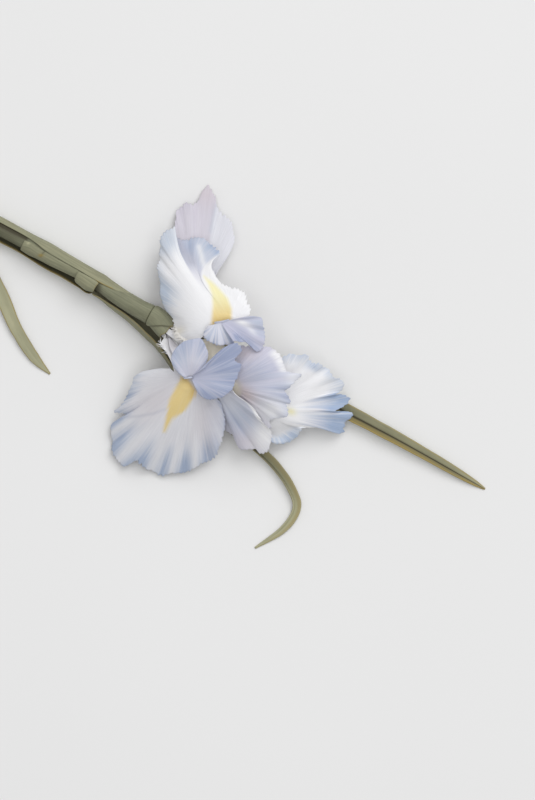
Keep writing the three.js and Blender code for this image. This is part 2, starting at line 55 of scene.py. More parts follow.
GAP = 0.3
PETAL_THICKNESS = 0.34
RIM_THICKNESS = 0.14
STYLE_THICKNESS = 0.4
LEAF_THICKNESS = 0.75
SHEATH_THICKNESS = 0.6
STEM_RADIUS = 3.9
OVARY_RADIUS = 4.75
CUP_RADIUS = 5.8
CUP_WALL = 1.1
CUP_DEPTH = 4.5
CUP_BEND = 0.35
PETAL_RING = 3.55
STYLE_RING = 1.6
CLAW_HALF_WIDTH = 1.4
STYLE_HALF_WIDTH = 0.8
CLAW_DEPTHS = (CUP_DEPTH - GAP - 0.1, -0.8)
BRACT_THICKNESS = 0.5
STEM_RINGS, STEM_SIDES = 260, 40  # how finely the stem's and the cup's meshes are cut
CUP_RINGS, HOLLOW_RINGS, CUP_SIDES = 50, 14, 72
THREAD_THICKNESS = 0.12
END_ROUNDING = 0.35  # of the stem's cut end
LEAST_ROUNDING = 0.12  # of a strip's edge, before the square root
SEE_THROUGH = 0.12  # share of the cloth's light that passes through it


# ---- numbers ----


def smooth(low, high, x):
    x = np.clip((np.asarray(x, float) - low) / (high - low), 0, 1)
    return x * x * (3 - 2 * x)


def rough(t, count, seed):
    """Smooth noise from -1 to 1 with this many knots over t from 0 to 1."""
    knots = np.random.RandomState(seed).uniform(-1, 1, count + 3)
    x = np.clip(t, 0, 1) * count
    i = x.astype(int)
    f = smooth(0, 1, x - i)
    return knots[i] * (1 - f) + knots[i + 1] * f


def along(rows, t):
    """Catmull-Rom through rows of any shape, with t from 0 to 1 over them all."""
    rows = np.asarray(rows, float)
    t = np.asarray(t, float)
    last = len(rows) - 1
    padded = np.concatenate([2 * rows[:1] - rows[1:2], rows, 2 * rows[-1:] - rows[-2:-1]])
    x = np.clip(t, 0, 1) * last
    i = np.minimum(x.astype(int), last - 1)
    f = (x - i).reshape(t.shape + (1,) * (rows.ndim - 1))
    a, b, c, d = padded[i], padded[i + 1], padded[i + 2], padded[i + 3]
    return b + 0.5 * f * (c - a + f * (2 * a - 5 * b + 4 * c - d + f * (3 * b - 3 * c + d - a)))


def evenly(rows, t):
    """The same curve with t measured along its length in plan."""
    fine = along(rows, np.linspace(0, 1, len(rows) * 24))
    steps = np.linalg.norm(np.diff(fine[:, :2], axis=0), axis=1)
    way = np.concatenate([[0], np.cumsum(steps)])
    return np.stack([np.interp(t, way / way[-1], column) for column in fine.T], -1), way[-1]


def softened(rows, reach):
    """Rows of numbers with bends shorter than this many rows evened out and the ends kept."""
    wide = int(3 * reach)
    window = np.exp(-0.5 * (np.arange(-wide, wide + 1) / reach) ** 2)
    padded = np.concatenate([2 * rows[:1] - rows[wide:0:-1], rows, 2 * rows[-1:] - rows[-2:-wide - 2:-1]])
    return np.stack([np.convolve(column, window / window.sum(), "valid") for column in padded.T], -1)


def spots(rows):
    """Sheet positions with heights as millimetres, with the camera's perspective taken out."""
    rows = np.asarray(rows, float)
    shrink = GRID * (1 - rows[..., 2] / EYE_HEIGHT)
    x = (rows[..., 0] - SHEET_CENTRE[0]) * shrink
    y = (SHEET_CENTRE[1] - rows[..., 1]) * shrink
    return np.stack([x, y, rows[..., 2]], -1)


def sheet_of(points):
    """Columns and rows of millimetre points, as the camera sees them."""
    shrink = GRID * (1 - points[..., 2] / EYE_HEIGHT)
    return points[..., 0] / shrink + SHEET_CENTRE[0], SHEET_CENTRE[1] - points[..., 1] / shrink


def unit(v):
    return v / np.maximum(np.linalg.norm(v, axis=-1, keepdims=True), 1e-9)


def normals(points):
    return unit(np.cross(np.gradient(points, axis=0), np.gradient(points, axis=1)))


def run_length(centre):
    """Millimetres along a line of points."""
    return np.concatenate([[0], np.cumsum(np.linalg.norm(np.diff(centre, axis=0), axis=1))])


def turn(sides):
    return np.linspace(0, 2 * np.pi, sides, endpoint=False)


def cross_axes(direction):
    level = unit(np.cross([0, 0, 1.0], direction))
    return level, np.cross(direction, level)


def spokes(axes, angle):
    """Directions at these angles round an axis, from its level and upright axes."""
    level, upright = axes
    return level[..., None, :] * np.cos(angle)[..., None] + upright[..., None, :] * np.sin(angle)[..., None]


def vein_of(across, length, seed):
    """The vector that streaks follow: millimetres across, millimetres along, and a seed."""
    return np.stack(np.broadcast_arrays(across, length, float(seed)), -1)


# ---- masks painted on a surface, by sheet position ----


def patch(place, column, row, long, short, angle=0):
    """A soft round patch: 1 in the middle, angle in degrees up the sheet from the right."""
    c, s = math.cos(math.radians(angle)), math.sin(math.radians(angle))
    dx, dy = place[0] - column, row - place[1]
    u, v = (dx * c + dy * s) / long, (dy * c - dx * s) / short
    return np.exp(-(u * u + v * v))


def distance(place, line):
    """Sheet squares from a line of sheet positions."""
    x, y = place
    nearest = np.full(x.shape, 1e9)
    for (ax, ay), (bx, by) in zip(line, line[1:]):
        w = np.clip(((x - ax) * (bx - ax) + (y - ay) * (by - ay)) / ((bx - ax) ** 2 + (by - ay) ** 2), 0, 1)
        nearest = np.minimum(nearest, np.hypot(x - ax - w * (bx - ax), y - ay - w * (by - ay)))
    return nearest


def inside(place, outline, soft):
    """1 inside a closed outline of sheet positions, fading to 0 over soft squares."""
    x, y = place
    closed = outline + outline[:1]
    odd = np.zeros(x.shape, bool)
    for (ax, ay), (bx, by) in zip(closed, closed[1:]):
        if ay != by:
            odd ^= ((ay > y) != (by > y)) & (x < ax + (y - ay) * (bx - ax) / (by - ay))
    nearest = distance(place, closed)
    return smooth(-soft, soft, np.where(odd, nearest, -nearest))


def near_line(place, line, width):
    """1 on a line of sheet positions, fading to 0 over its width."""
    return np.exp(-((distance(place, line) / width) ** 2))


# ---- meshes ----


def in_scene(name, data):
    made = bpy.data.objects.new(name, data)
    bpy.context.scene.collection.objects.link(made)
    return made


def spread(values, grid):
    """A painted value as a list over all points of a grid."""
    values = np.asarray(values, float)
    return np.broadcast_to(values, grid + values.shape[2:]).reshape((-1,) + values.shape[2:])


def shell(middle, thickness, paint, back=None):
    """A closed thin solid around a grid of middle points. Its back may be painted otherwise."""
    grid = middle.shape[:2]
    count = grid[0] * grid[1]
    half = (normals(middle) * np.broadcast_to(thickness, grid)[..., None] / 2).reshape(-1, 3)
    flat = middle.reshape(-1, 3)
    index = np.arange(count).reshape(grid)
    a, b, c, d = index[:-1, :-1], index[1:, :-1], index[1:, 1:], index[:-1, 1:]
    top = np.stack([a, b, c, d], -1).reshape(-1, 4)
    bottom = np.stack([a, d, c, b], -1).reshape(-1, 4) + count
    rim = np.concatenate([index[0], index[1:, -1], index[-1, -2::-1], index[-2:0:-1, 0], index[0, :1]])
    edge = np.stack([rim[:-1], rim[1:], rim[1:] + count, rim[:-1] + count], -1)
    under = {**paint, **(back or {})}
    return {
        "points": np.concatenate([flat + half, flat - half]),
        "quads": np.concatenate([top, bottom, edge]),
        "paint": {k: np.concatenate([spread(paint[k], grid), spread(under[k], grid)]) for k in paint},
    }


def ring_shell(rings, vein, **paint):
    """A solid skinned over rings of points (rows, sides, 3), closed at its ends by fans."""
    rows, sides = rings.shape[:2]
    index = np.arange(rows * sides).reshape(rows, sides)
    following = np.roll(index, -1, axis=1)
    faces = [np.stack([index[:-1], following[:-1], following[1:], index[1:]], -1).reshape(-1, 4)]
    for hub, a, b in ((rows * sides, following[0], index[0]), (rows * sides + 1, index[-1], following[-1])):
        hubs = np.full(sides, hub)
        faces.append(np.stack([hubs, a, b, hubs], -1))
    values = {k: spread(v, (rows, sides)) for k, v in paint.items()}
    values = {k: np.append(v, [v[:sides].mean(), v[-sides:].mean()]) for k, v in values.items()}
    vein = vein.reshape(-1, 3)
    values["vein"] = np.concatenate([vein, vein[:1], vein[-1:]])
    points = np.concatenate([rings.reshape(-1, 3), rings[:1].mean(1), rings[-1:].mean(1)])
    return {"points": points, "quads": np.concatenate(faces), "paint": values}


# Squares that the tube and its wraps sag in the plan, by column, on the tube's upper and lower side.
SAG_COLUMNS = [0, 30, 50, 62, 80, 98, 110, 122, 134, 146, 152, 162]
SAG_UPPER = [0, 0.8, 1.5, 2.7, 3.8, 4.8, 4.8, 3.2, 2.6, 2.3, 1.2, 0]
SAG_LOWER = [0, 0, 0, -0.8, -1.2, 1.5, 2.0, 2.0, 2.4, 2.3, 1.0, 0]
TUBE_COLUMNS = [0, 48, 84, 103, 134, 162]
TUBE_ROWS = [227.8, 253.2, 272.7, 283.2, 303.1, 322]
TUBE_WIDTH = 20


def sagged(points):
    """Points of the tube and its wraps, lowered on the sheet."""
    place = sheet_of(points)
    upper = smooth(-0.5, 0.5, (np.interp(place[0], TUBE_COLUMNS, TUBE_ROWS) - place[1]) / TUBE_WIDTH)
    low = np.interp(place[0], SAG_COLUMNS, SAG_LOWER)
    sag = low + (np.interp(place[0], SAG_COLUMNS, SAG_UPPER) - low) * upper
    return points - np.stack([0 * sag, sag * GRID, 0 * sag], -1)


SHIFT = np.zeros(3)  # from sheet millimetres to the frame's, set from the stem below
SAGGING = ("stem", "sheath", "leaf")


def make_piece(name, slot, shells, material):
    points, faces, base = [], [], 0
    for part in shells:
        points.append(sagged(part["points"]) if slot in SAGGING else part["points"])
        for face in part["quads"].tolist():
            corners = face[:3] if face[3] == face[0] else face
            faces.append([base + corner for corner in corners])
        base += len(part["points"])
    mesh = bpy.data.meshes.new(name)
    mesh.from_pydata(((np.concatenate(points) + SHIFT) * MM).tolist(), [], faces)
    for key in sorted({key for part in shells for key in part["paint"]}):
        values = [part["paint"].get(key, np.zeros(len(part["points"]))) for part in shells]
        kind, field = ("FLOAT_VECTOR", "vector") if key == "vein" else ("FLOAT", "value")
        layer = mesh.attributes.new(key, kind, "POINT")
        layer.data.foreach_set(field, np.concatenate(values).ravel())
    mesh.polygons.foreach_set("use_smooth", [True] * len(mesh.polygons))
    mesh.update()
    piece = in_scene(name, mesh)
    mesh.materials.append(material)
    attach(piece, "root")
    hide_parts(name)


# ---- materials ----


def tint(red, green, blue):
    """An sRGB colour of 0 to 255 as linear light."""
    values = np.array([red, green, blue]) / 255
    return tuple(np.where(values > 0.04045, ((values + 0.055) / 1.055) ** 2.4, values / 12.92)) + (1.0,)


class Tree:
    """A few short cuts for building a node material."""

    def __init__(self, name):
        self.material = bpy.data.materials.new(name)
        self.material.use_nodes = True
        self.nodes = self.material.node_tree.nodes
        self.links = self.material.node_tree.links
        self.nodes.clear()

    def node(self, kind, inputs=None, **settings):
        made = self.nodes.new(kind)
        for key, value in settings.items():
            setattr(made, key, value)
        for key, value in (inputs or {}).items():
            if isinstance(value, bpy.types.NodeSocket):
                self.links.new(value, made.inputs[key])
            else:
                made.inputs[key].default_value = value
        return made

    def painted(self, name, output="Fac"):
        return self.node("ShaderNodeAttribute", attribute_name=name).outputs[output]

    def math(self, operation, a, b, clamp=False):
        return self.node("ShaderNodeMath", {0: a, 1: b}, operation=operation, use_clamp=clamp).outputs[0]

    def total(self, first, *others):
        """A value plus others times their weights."""
        for value, weight in others:
            first = self.math("ADD", first, self.math("MULTIPLY", value, weight))
        return first

    def noise(self, vector, scale=1.0, detail=3.0):
        inputs = {"Vector": vector, "Scale": scale, "Detail": detail, "Roughness": 0.55}
        return self.node("ShaderNodeTexNoise", inputs).outputs["Fac"]

    def veined(self, across, along, detail):
        """Noise drawn out along the veins."""
        inputs = {0: self.painted("vein", "Vector"), 1: (across, along, 1.0)}
        return self.noise(self.node("ShaderNodeVectorMath", inputs, operation="MULTIPLY").outputs[0],
                          detail=detail)

    def speckled(self, scale, detail):
        return self.noise(self.node("ShaderNodeTexCoord").outputs["Object"], scale, detail)

    def ranged(self, value, low, high, to_low, to_high):
        inputs = {"Value": value, "From Min": low, "From Max": high, "To Min": to_low, "To Max": to_high}
        return self.node("ShaderNodeMapRange", inputs).outputs[0]

    def mix(self, factor, a, b, blend="MIX"):
        return self.node("ShaderNodeMix", {0: factor, 6: a, 7: b}, data_type="RGBA",
                         blend_type=blend).outputs[2]

    def bump(self, height, strength, distance):
        inputs = {"Height": height, "Strength": strength, "Distance": distance}
        return self.node("ShaderNodeBump", inputs).outputs["Normal"]

    def surface(self, colour, roughness, specular, **others):
        inputs = {"Base Color": colour, "Roughness": roughness, "Specular IOR Level": specular, **others}
        return self.node("ShaderNodeBsdfPrincipled", inputs).outputs[0]

    def finish(self, shader):
        self.node("ShaderNodeOutputMaterial", {"Surface": shader})
        return self.material


# Noise drawn out along the veins: how fine across and along them, and its octaves.
BROAD, STREAK, FINE = (0.22, 0.03, 2), (0.75, 0.035, 3), (2.6, 0.10, 3)
GRAIN, CLOUD = (1.1, 0.06, 4), (0.12, 0.05, 3)
# Even noise: how fine, and its octaves.
WEAVE, SPECK, TABLE_NOISE = (2600, 1), (900, 2), (3, 2)
# Bumps: strength, and depth in metres.
CLOTH_RELIEF, PLASTIC_RELIEF = (0.18, 0.0004), (0.4, 0.0003)

WHITE = tint(253, 253, 255)
LAVENDER = tint(230, 229, 239)
BLUE = tint(206, 217, 233)
DEEP_BLUE = tint(172, 190, 218)
VIOLET = tint(203, 201, 221)
PERIWINKLE = tint(199, 207, 225)
DEEP_PERIWINKLE = tint(166, 176, 205)
ROSE = tint(220, 206, 208)
CREAM = tint(240, 232, 212)
GOLD = tint(255, 249, 200)
AMBER = tint(240, 208, 132)
SHADE = tint(196, 198, 212)


def petal_material(name, base, blue, deep):
    """Fine cloth with dye, painted shade and highlights streaked along the veins; the painted values say
    how much.
    """
    t = Tree(name)
    broad, streak, fine = t.veined(*BROAD), t.veined(*STREAK), t.veined(*FINE)
    pull = t.total(-1.3, (streak, 1.7), (broad, 0.9))
    gold = t.mix(t.painted("amber"), GOLD, AMBER)
    # painted value, colour, how much it follows streaks; shade is painted shade, pale is white and partly
    # painted light
    dyes_and_painted_light = (("violet", VIOLET, 0.7), ("blue", blue, 1.5), ("deep", deep, 1.7), ("rose", ROSE, 0.3),
            ("pale", WHITE, 0.6), ("cream", CREAM, 0.2), ("gold", gold, 0.35), ("shade", SHADE, 0.4))
    colour = base
    for key, tone, streaky in dyes_and_painted_light:
        amount = t.math("MULTIPLY", t.painted(key), t.total(1.0, (pull, streaky)), clamp=True)
        colour = t.mix(amount, colour, tone)
    thread = t.ranged(fine, 0.32, 0.68, 0.9, 1.0)
    grey = t.node("ShaderNodeCombineXYZ", {0: thread, 1: thread, 2: thread}).outputs[0]
    colour = t.mix(1.0, colour, grey, "MULTIPLY")
    normal = t.bump(t.total(fine, (streak, 1.6), (t.speckled(*WEAVE), 0.12)), *CLOTH_RELIEF)
    sheen = {"Sheen Weight": 0.12, "Sheen Roughness": 0.5}
    cloth = t.surface(colour, 0.78, 0.25, Normal=normal, **sheen)
    behind = t.node("ShaderNodeBsdfTranslucent", {"Color": colour, "Normal": normal}).outputs[0]
    return t.finish(t.node("ShaderNodeMixShader", {0: SEE_THROUGH, 1: cloth, 2: behind}).outputs[0])


# OLIVE_LIGHT and LEAF_LIGHT are lit copies of the olive, for its grain and for painted light; OLIVE_DARK is
# a shaded copy, for mottling, painted shade and dark marks.
OLIVE = tint(118, 120, 98)
OLIVE_LIGHT = tint(150, 150, 124)
OLIVE_DARK = tint(66, 62, 46)
OCHRE = tint(150, 132, 78)
LEAF_LIGHT = tint(168, 166, 136)


def stalk_material(name, lit):
    """Matt moulded plastic: ochre edges, faint lengthwise grain, painted light, painted shade and dark
    marks.
    """
    t = Tree(name)
    grain, cloud, speck = t.veined(*GRAIN), t.veined(*CLOUD), t.speckled(*SPECK)
    colour = t.mix(t.ranged(grain, 0.38, 0.66, 0.0, 0.6), OLIVE, lit)
    colour = t.mix(t.ranged(cloud, 0.45, 0.75, 0.0, 0.35), colour, OLIVE_DARK)
    wander = t.ranged(cloud, 0.3, 0.7, 0.6, 1.3)
    for key, share, towards in (("light", wander, lit), ("dark", 1.0, OLIVE_DARK),
                                ("ochre", wander, OCHRE)):
        colour = t.mix(t.math("MULTIPLY", t.painted(key), share, clamp=True), colour, towards)
    normal = t.bump(t.total(grain, (speck, 0.35)), *PLASTIC_RELIEF)
    return t.finish(t.surface(colour, t.ranged(speck, 0.3, 0.7, 0.62, 0.78), 0.3, Normal=normal))


FALL = petal_material("fall_cloth", WHITE, BLUE, DEEP_BLUE)
STANDARD = petal_material("standard_cloth", LAVENDER, PERIWINKLE, DEEP_PERIWINKLE)
STYLE = petal_material("style_cloth", LAVENDER, PERIWINKLE, DEEP_PERIWINKLE)
STEM_PLASTIC = stalk_material("stem_plastic", OLIVE_LIGHT)
LEAF_PLASTIC = stalk_material("leaf_plastic", LEAF_LIGHT)

# ---- stem ----

# column, row, height and radius
STEM_AXIS = [
    [-230, 110, 6.0, STEM_RADIUS],
    [-155, 149, 5.9, STEM_RADIUS],
    [-78, 188, 6.1, STEM_RADIUS],
    [0, 227.8, 6.8, STEM_RADIUS],
    [50, 254.3, 7.9, STEM_RADIUS + 0.3],
    [84, 272.7, 9.1, STEM_RADIUS + 0.3],
    [104, 283.8, 10.2, OVARY_RADIUS - 0.2],
    [127, 299, 11.7, OVARY_RADIUS],
    [150.5, 313, 13.4, OVARY_RADIUS - 0.05],
]


def axis_frames(sections, s):
    """Centres, directions, the other numbers, and level and upright axes along sections."""
    values = along(sections, s)
    step = 0.004
    ahead = spots(along(sections, np.minimum(s + step, 1))[:, :3])
    behind = spots(along(sections, np.maximum(s - step, 0))[:, :3])
    direction = unit(ahead - behind)
    return spots(values[:, :3]), direction, values[:, 3:], cross_axes(direction)


centre, directions, radius, axes = axis_frames(STEM_AXIS, np.linspace(0, 1, STEM_RINGS))
length = run_length(centre)
from_end = np.minimum(length, length[-1] - length) / END_ROUNDING
inset = END_ROUNDING * (1 - np.sqrt(np.clip(1 - (1 - np.clip(from_end, 0, 1)) ** 2, 0, 1)))
angle = turn(STEM_SIDES)
rings = centre[:, None] + spokes(axes, angle) * (radius - inset[:, None])[..., None]
low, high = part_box("stem")
own_middle = (rings.min((0, 1)) + rings.max((0, 1))) / 2
SHIFT[:] = np.array((low + high) / 2) / MM - own_middle

place = sheet_of(rings)
# Painted shade in the slit between the sheath's edge and the stem, in the gap under bract_2's end, and on
# the stem left of column 34; the cut end is drawn darker too.
cut = smooth(1.2, 0.0, length)[:, None]
slit_shade = near_line(place, [(-20, 214), (2, 225.5), (14, 231.5), (26, 238)], 2.2)
under_bract_shade = smooth(104, 97.5, place[0]) * smooth(90, 97, place[0])
shaded = 0.45 * smooth(34, 12, place[0])
dark = np.clip(0.5 * cut + slit_shade + 0.8 * under_bract_shade + shaded, 0, 1)
stem = ring_shell(rings, vein_of(6 * np.cos(angle), length[:, None], 3), light=0, dark=dark)
make_piece("stem", "stem", [stem], STEM_PLASTIC)

# ---- cup ----

MOUTH = spots([168.5, 331.5, 15])
SEAM = spots([150.5, 313, 13.4])
MOUTH_DIRECTION = unit(np.array([0.7, -0.7, 0.16]))


def cup_axis(f):
    """Centres and directions of the bend from the stem's end to the mouth."""
    start = directions[-1]
    reach = np.linalg.norm(SEAM - MOUTH) * CUP_BEND
    a, b = SEAM + start * GAP, SEAM + start * reach
    c, d = MOUTH - MOUTH_DIRECTION * reach, MOUTH
    f = f[:, None]
    centre = a * (1 - f) ** 3 + 3 * b * f * (1 - f) ** 2 + 3 * c * f * f * (1 - f) + d * f**3
    tangent = (b - a) * (1 - f) ** 2 + 2 * (c - b) * f * (1 - f) + (d - c) * f * f
    return centre, unit(tangent)


def cup():
    outer = np.linspace(0, 1, CUP_RINGS)
    depths = np.linspace(0, 1, HOLLOW_RINGS)
    angle = turn(CUP_SIDES)
    profile = [[0, OVARY_RADIUS + 0.05], [0.05, OVARY_RADIUS + 0.42], [0.3, CUP_RADIUS - 0.3],
               [0.55, CUP_RADIUS], [0.8, CUP_RADIUS], [1, CUP_RADIUS - 0.2]]
    centre, direction = cup_axis(outer)
    # the lower lobe begins where the upper lobe's lip ends, on the near side
    seam = np.interp(outer, [0, 0.15, 0.35, 0.7, 1], [200, 186, 150, 100, 62])[:, None]
    degrees = np.degrees(angle)
    step = smooth(seam - 3, seam + 3, degrees) * smooth(300, 280, degrees)
    wave = 0.10 * np.sin(3 * angle) * outer[:, None]
    wide = np.interp(outer, *np.array(profile).T)[:, None] - 0.5 * step + wave
    ragged = 0.9 * rough(angle / (2 * np.pi), 22, 5) + 0.5 * rough(angle / (2 * np.pi), 40, 8)
    outside = centre[:, None] + spokes(cross_axes(direction), angle) * wide[..., None]
    outside = outside + direction[:, None] * (smooth(0.7, 1, outer)[:, None] * ragged)[..., None]
    middle = MOUTH - MOUTH_DIRECTION * CUP_DEPTH * depths[:, None]
    hollow = CUP_RADIUS - CUP_WALL + 0.45 * (1 - depths) ** 4 - 0.2 * depths
    within = middle[:, None] + spokes(cross_axes(MOUTH_DIRECTION), angle) * hollow[:, None, None]
    within = within + MOUTH_DIRECTION * (smooth(0.35, 0, depths)[:, None] * ragged)[..., None]
    way = np.concatenate([outer, 1 + 0 * depths])[:, None]
    lip = np.concatenate([smooth(0.93, 1, outer), smooth(0.25, 0, depths)])[:, None]
    # Painted shade deep in the hollow, a dark line along the step where the lower lobe begins, and a little
    # painted light over the whole cup.
    line = np.concatenate([np.exp(-(((degrees - seam) / 4) ** 2)), 0 * within[..., 0]])
    hollow_shade = np.concatenate([0 * outer, smooth(0, 0.2, depths)])[:, None]
    dark = np.clip(hollow_shade + 0.8 * line, 0, 1)
    vein = vein_of(6 * np.cos(angle), 12 * way, 7)
    return ring_shell(np.concatenate([outside, within]), vein, ochre=0.5 * lip, dark=dark, light=0.15)


make_piece("calyx_cup", "stem", [cup()], STEM_PLASTIC)

# ---- sheath and bracts ----

# column, row, height, radius, first and last angle round the stem, and radius at the last angle
SHEATH = [
    [-160, 146.4, 5.9, 4.65, 60, -172, 4.9],
    [-120, 166.8, 5.95, 4.65, 58, -172, 5.3],
    [-60, 197.1, 6.2, 4.65, 58, -172, 5.8],
    [0, 227.8, 6.8, 4.65, 58, -172, 6.45],
    [26, 241.6, 7.35, 4.75, 58, -172, 6.4],
    [48, 253.2, 7.9, 4.95, 82, -172, 7.4],
    [66, 262.9, 8.4, 4.95, 84, -172, 7.65],
    [84, 272.7, 9.1, 4.9, 83, -172, 8.2],
    [95, 278.7, 9.6, 5.0, 80, -168, 8.3],
    [103, 283.2, 10.15, 5.05, 78, -70, 6.0],
    [110, 287.7, 10.6, 4.82, 70, -55, 5.1],
    [117, 292.3, 11.05, 4.6, 60, -40, 4.6],
    [134, 303.1, 12.15, 4.3, 12, -16, 4.3],
]
BRACT_1 = [
    [25, 241.1, 7.35, 4.75, 84, 200, 4.75],
    [33, 245.3, 7.5, 5.2, 80, 212, 5.2],
    [42, 250.1, 7.75, 4.9, 84, 214, 4.9],
    [55, 257.0, 8.05, 4.85, 87, 222, 4.85],
    [68, 264.1, 8.5, 4.85, 88, 222, 4.85],
    [82, 271.6, 9.0, 4.8, 87, 215, 4.8],
]
BRACT_2 = [
    [80.5, 270.9, 8.95, 5.65, 96, 158, 6.0],
    [83.5, 272.5, 9.1, 5.7, 88, 172, 6.9],
    [92, 277, 9.5, 5.7, 83, 176, 7.6],
    [97.5, 280.1, 9.8, 5.65, 82, 171, 6.6],
    [99.5, 281.2, 9.9, 5.65, 86, 158, 5.8],
]


def strip(middle, at, edge, across, length, thickness, rounding, seed, paint, back):
    """A thin strip with rounded edges. A mask may depend on where on the strip it is."""
    place = sheet_of(middle)
    end = np.minimum(length, length[-1] - length)
    thin = thickness * np.sqrt(np.clip(np.minimum(edge, end + 0.05) / rounding, LEAST_ROUNDING, 1))

    def painted(masks):
        masks = {k: v(place, at, edge, end) if callable(v) else v for k, v in masks.items()}
        return {k: np.broadcast_to(v, edge.shape) for k, v in masks.items()}

    return shell(middle, thin, {**painted(paint), "vein": vein_of(across, length, seed)}, painted(back))


def channel(sections, count, steps, thickness, seed, back=(), **paint):
    """An arc-shaped channel with thin rounded edges. Its back is painted otherwise."""
    s = np.linspace(0, 1, count)
    t = np.linspace(0, 1, steps)
    centre, _, rest, axes = axis_frames(sections, s)
    first, last = rest[:, 1:2] + rough(s, 30, seed)[:, None], rest[:, 2:3] + rough(s, 26, seed + 1)[:, None]
    angle = np.radians(first * (1 - t) + last * t)
    radius = rest[:, :1] + (rest[:, 3:] - rest[:, :1]) * smooth(0, 1, t)
    middle = centre[:, None] + spokes(axes, angle) * radius[..., None]
    edge = np.minimum(t, 1 - t) * np.abs(angle[:, -1:] - angle[:, :1]) * rest[:, :1]
    length = run_length(centre)[:, None]
    thin = thickness * (1 - 0.6 * smooth(14, 2, length[-1] - length))
    return strip(middle, t[None], edge, rest[:, :1] * angle, length, thin, 0.35, seed, paint, dict(back))


def sheath_ochre(place, t, edge, end):
    tip = smooth(93, 98, place[0]) * smooth(115, 110, place[0])
    return 0.7 * smooth(1.6, 0.3, edge) * (t > 0.5) + 0.9 * smooth(0.8, 0.2, edge) * (t < 0.5) * tip


def trough_ochre(place, t, edge, end):
    return 0.6 * smooth(2.2, 0.3, edge) * (t > 0.5)


def bract_ochre(place, t, edge, end):
    lower = smooth(0.7, 0.15, edge) * (t > 0.5) * smooth(56, 62, place[0])
    return 0.9 * np.clip(lower + patch(place, 41, 255, 2.5, 1.6, 10), 0, 1)


# A painted highlight along the bract's top, over a little painted light all over it.
def bract_highlight(place, t, edge, end):
    return 0.2 + 0.7 * near_line(place, [(28, 243), (31, 240), (36, 242), (40, 246)], 1.6)


# A dark seam, and painted shade along a fold beside it.
def bract_seam_and_fold_shade(place, t, edge, end):
    seam = near_line(place, [(46, 249.5), (43, 252.5), (41, 256)], 0.9)
    fold = near_line(place, [(37, 244.5), (41, 247), (46, 249)], 1.3)
    return 0.55 * np.clip(seam + 1.4 * fold, 0, 1.6)


def cover_ochre(place, t, edge, end):
    return 0.45 * smooth(0.8, 0.2, end) * smooth(90, 94, place[0])


# The sheath's back, inside its trough, gets painted shade and no painted light; its outer face gets some
# painted light.
trough = {"dark": 0.68, "light": 0, "ochre": trough_ochre}
sheath = channel(SHEATH, 420, 90, SHEATH_THICKNESS, 11, trough, ochre=sheath_ochre, light=0.28, dark=0)
make_piece("stem_sheath", "sheath", [sheath], LEAF_PLASTIC)
bract = channel(BRACT_1, 120, 40, BRACT_THICKNESS, 13, ochre=bract_ochre, light=bract_highlight,
                dark=bract_seam_and_fold_shade)
make_piece("bract_1", "sheath", [bract], LEAF_PLASTIC)
# bract_2 gets some painted light all over.
bract = channel(BRACT_2, 60, 40, BRACT_THICKNESS, 17, ochre=cover_ochre, light=0.3, dark=0)
make_piece("bract_2", "sheath", [bract], LEAF_PLASTIC)

# ---- leaves: strips folded along a keel ----

# column, row, height, and the width and slope in degrees of the left and of the right wall
LOWER_LEAF = [
    [-112, 185.5, 5.6, 2.2, 96, 2.2, -84],
    [-84, 200.0, 5.8, 2.8, 88, 2.8, -76],
    [-50, 223.2, 5.6, 3.2, 55, 3.2, -40],
    [-22, 253, 4.4, 3.5, 22, 3.5, -8],
    [0, 292, 3.0, 3.5, 14, 3.6, 8],
    [16, 328, 2.0, 3.1, 14, 3.2, 10],
    [34, 357, 1.2, 2.6, 12, 2.6, 8],
    [50, 374, 0.6, 0.5, 0, 0.5, 0],
]
NEAR_SPATHE = [
    [92, 293.4, 9.4, 2.3, -23, 1.0, 100],
    [99.5, 297.2, 7.8, 3.3, -24, 2.4, 108],
    [110.5, 306.3, 6.2, 4.1, -24, 4.3, 114],
    [130.3, 322, 4.6, 6.0, -8, 6.5, 114],
    [150.8, 342.2, 4.4, 6.4, -6, 6.6, 110],
    [166.3, 362, 4.2, 6.0, 0, 6.0, 106],
    [186, 390, 3.0, 5.2, 10, 5.2, 98],
    [218, 421, 2.2, 4.6, 22, 4.3, 72],
    [248, 444, 1.6, 4.2, 30, 3.2, 78],
    [271, 464.5, 1.4, 4.0, 26, 2.9, 75],
    [288, 487, 1.2, 3.6, 24, 2.8, 72],
    [295, 508, 1.0, 3.2, 22, 2.3, 60],
    [282, 529, 0.8, 2.4, 20, 1.6, 40],
    [255, 548, 0.6, 0.5, 0, 0.5, 0],
]
FAR_SPATHE = [
    [107, 286, 4.9, 2.4, 20, 2.2, 20],
    [120, 293.5, 4.4, 3.0, 30, 2.6, 28],
    [146, 310, 2.6, 3.6, 38, 3.0, 34],
    [180, 328, 1.6, 4.0, 40, 3.8, 40],
    [240, 359, 1.6, 4.6, 38, 4.6, 46],
    [300, 388.5, 1.8, 5.2, 36, 5.2, 52],
    [349, 414, 2.2, 5.2, 34, 5.0, 54],
    [400, 441, 1.8, 4.4, 34, 4.4, 54],
    [448, 468, 1.2, 3.2, 30, 3.2, 50],
    [472, 481.5, 0.8, 1.8, 20, 1.8, 34],
    [485, 489, 0.6, 0.5, 0, 0.5, 0],
]


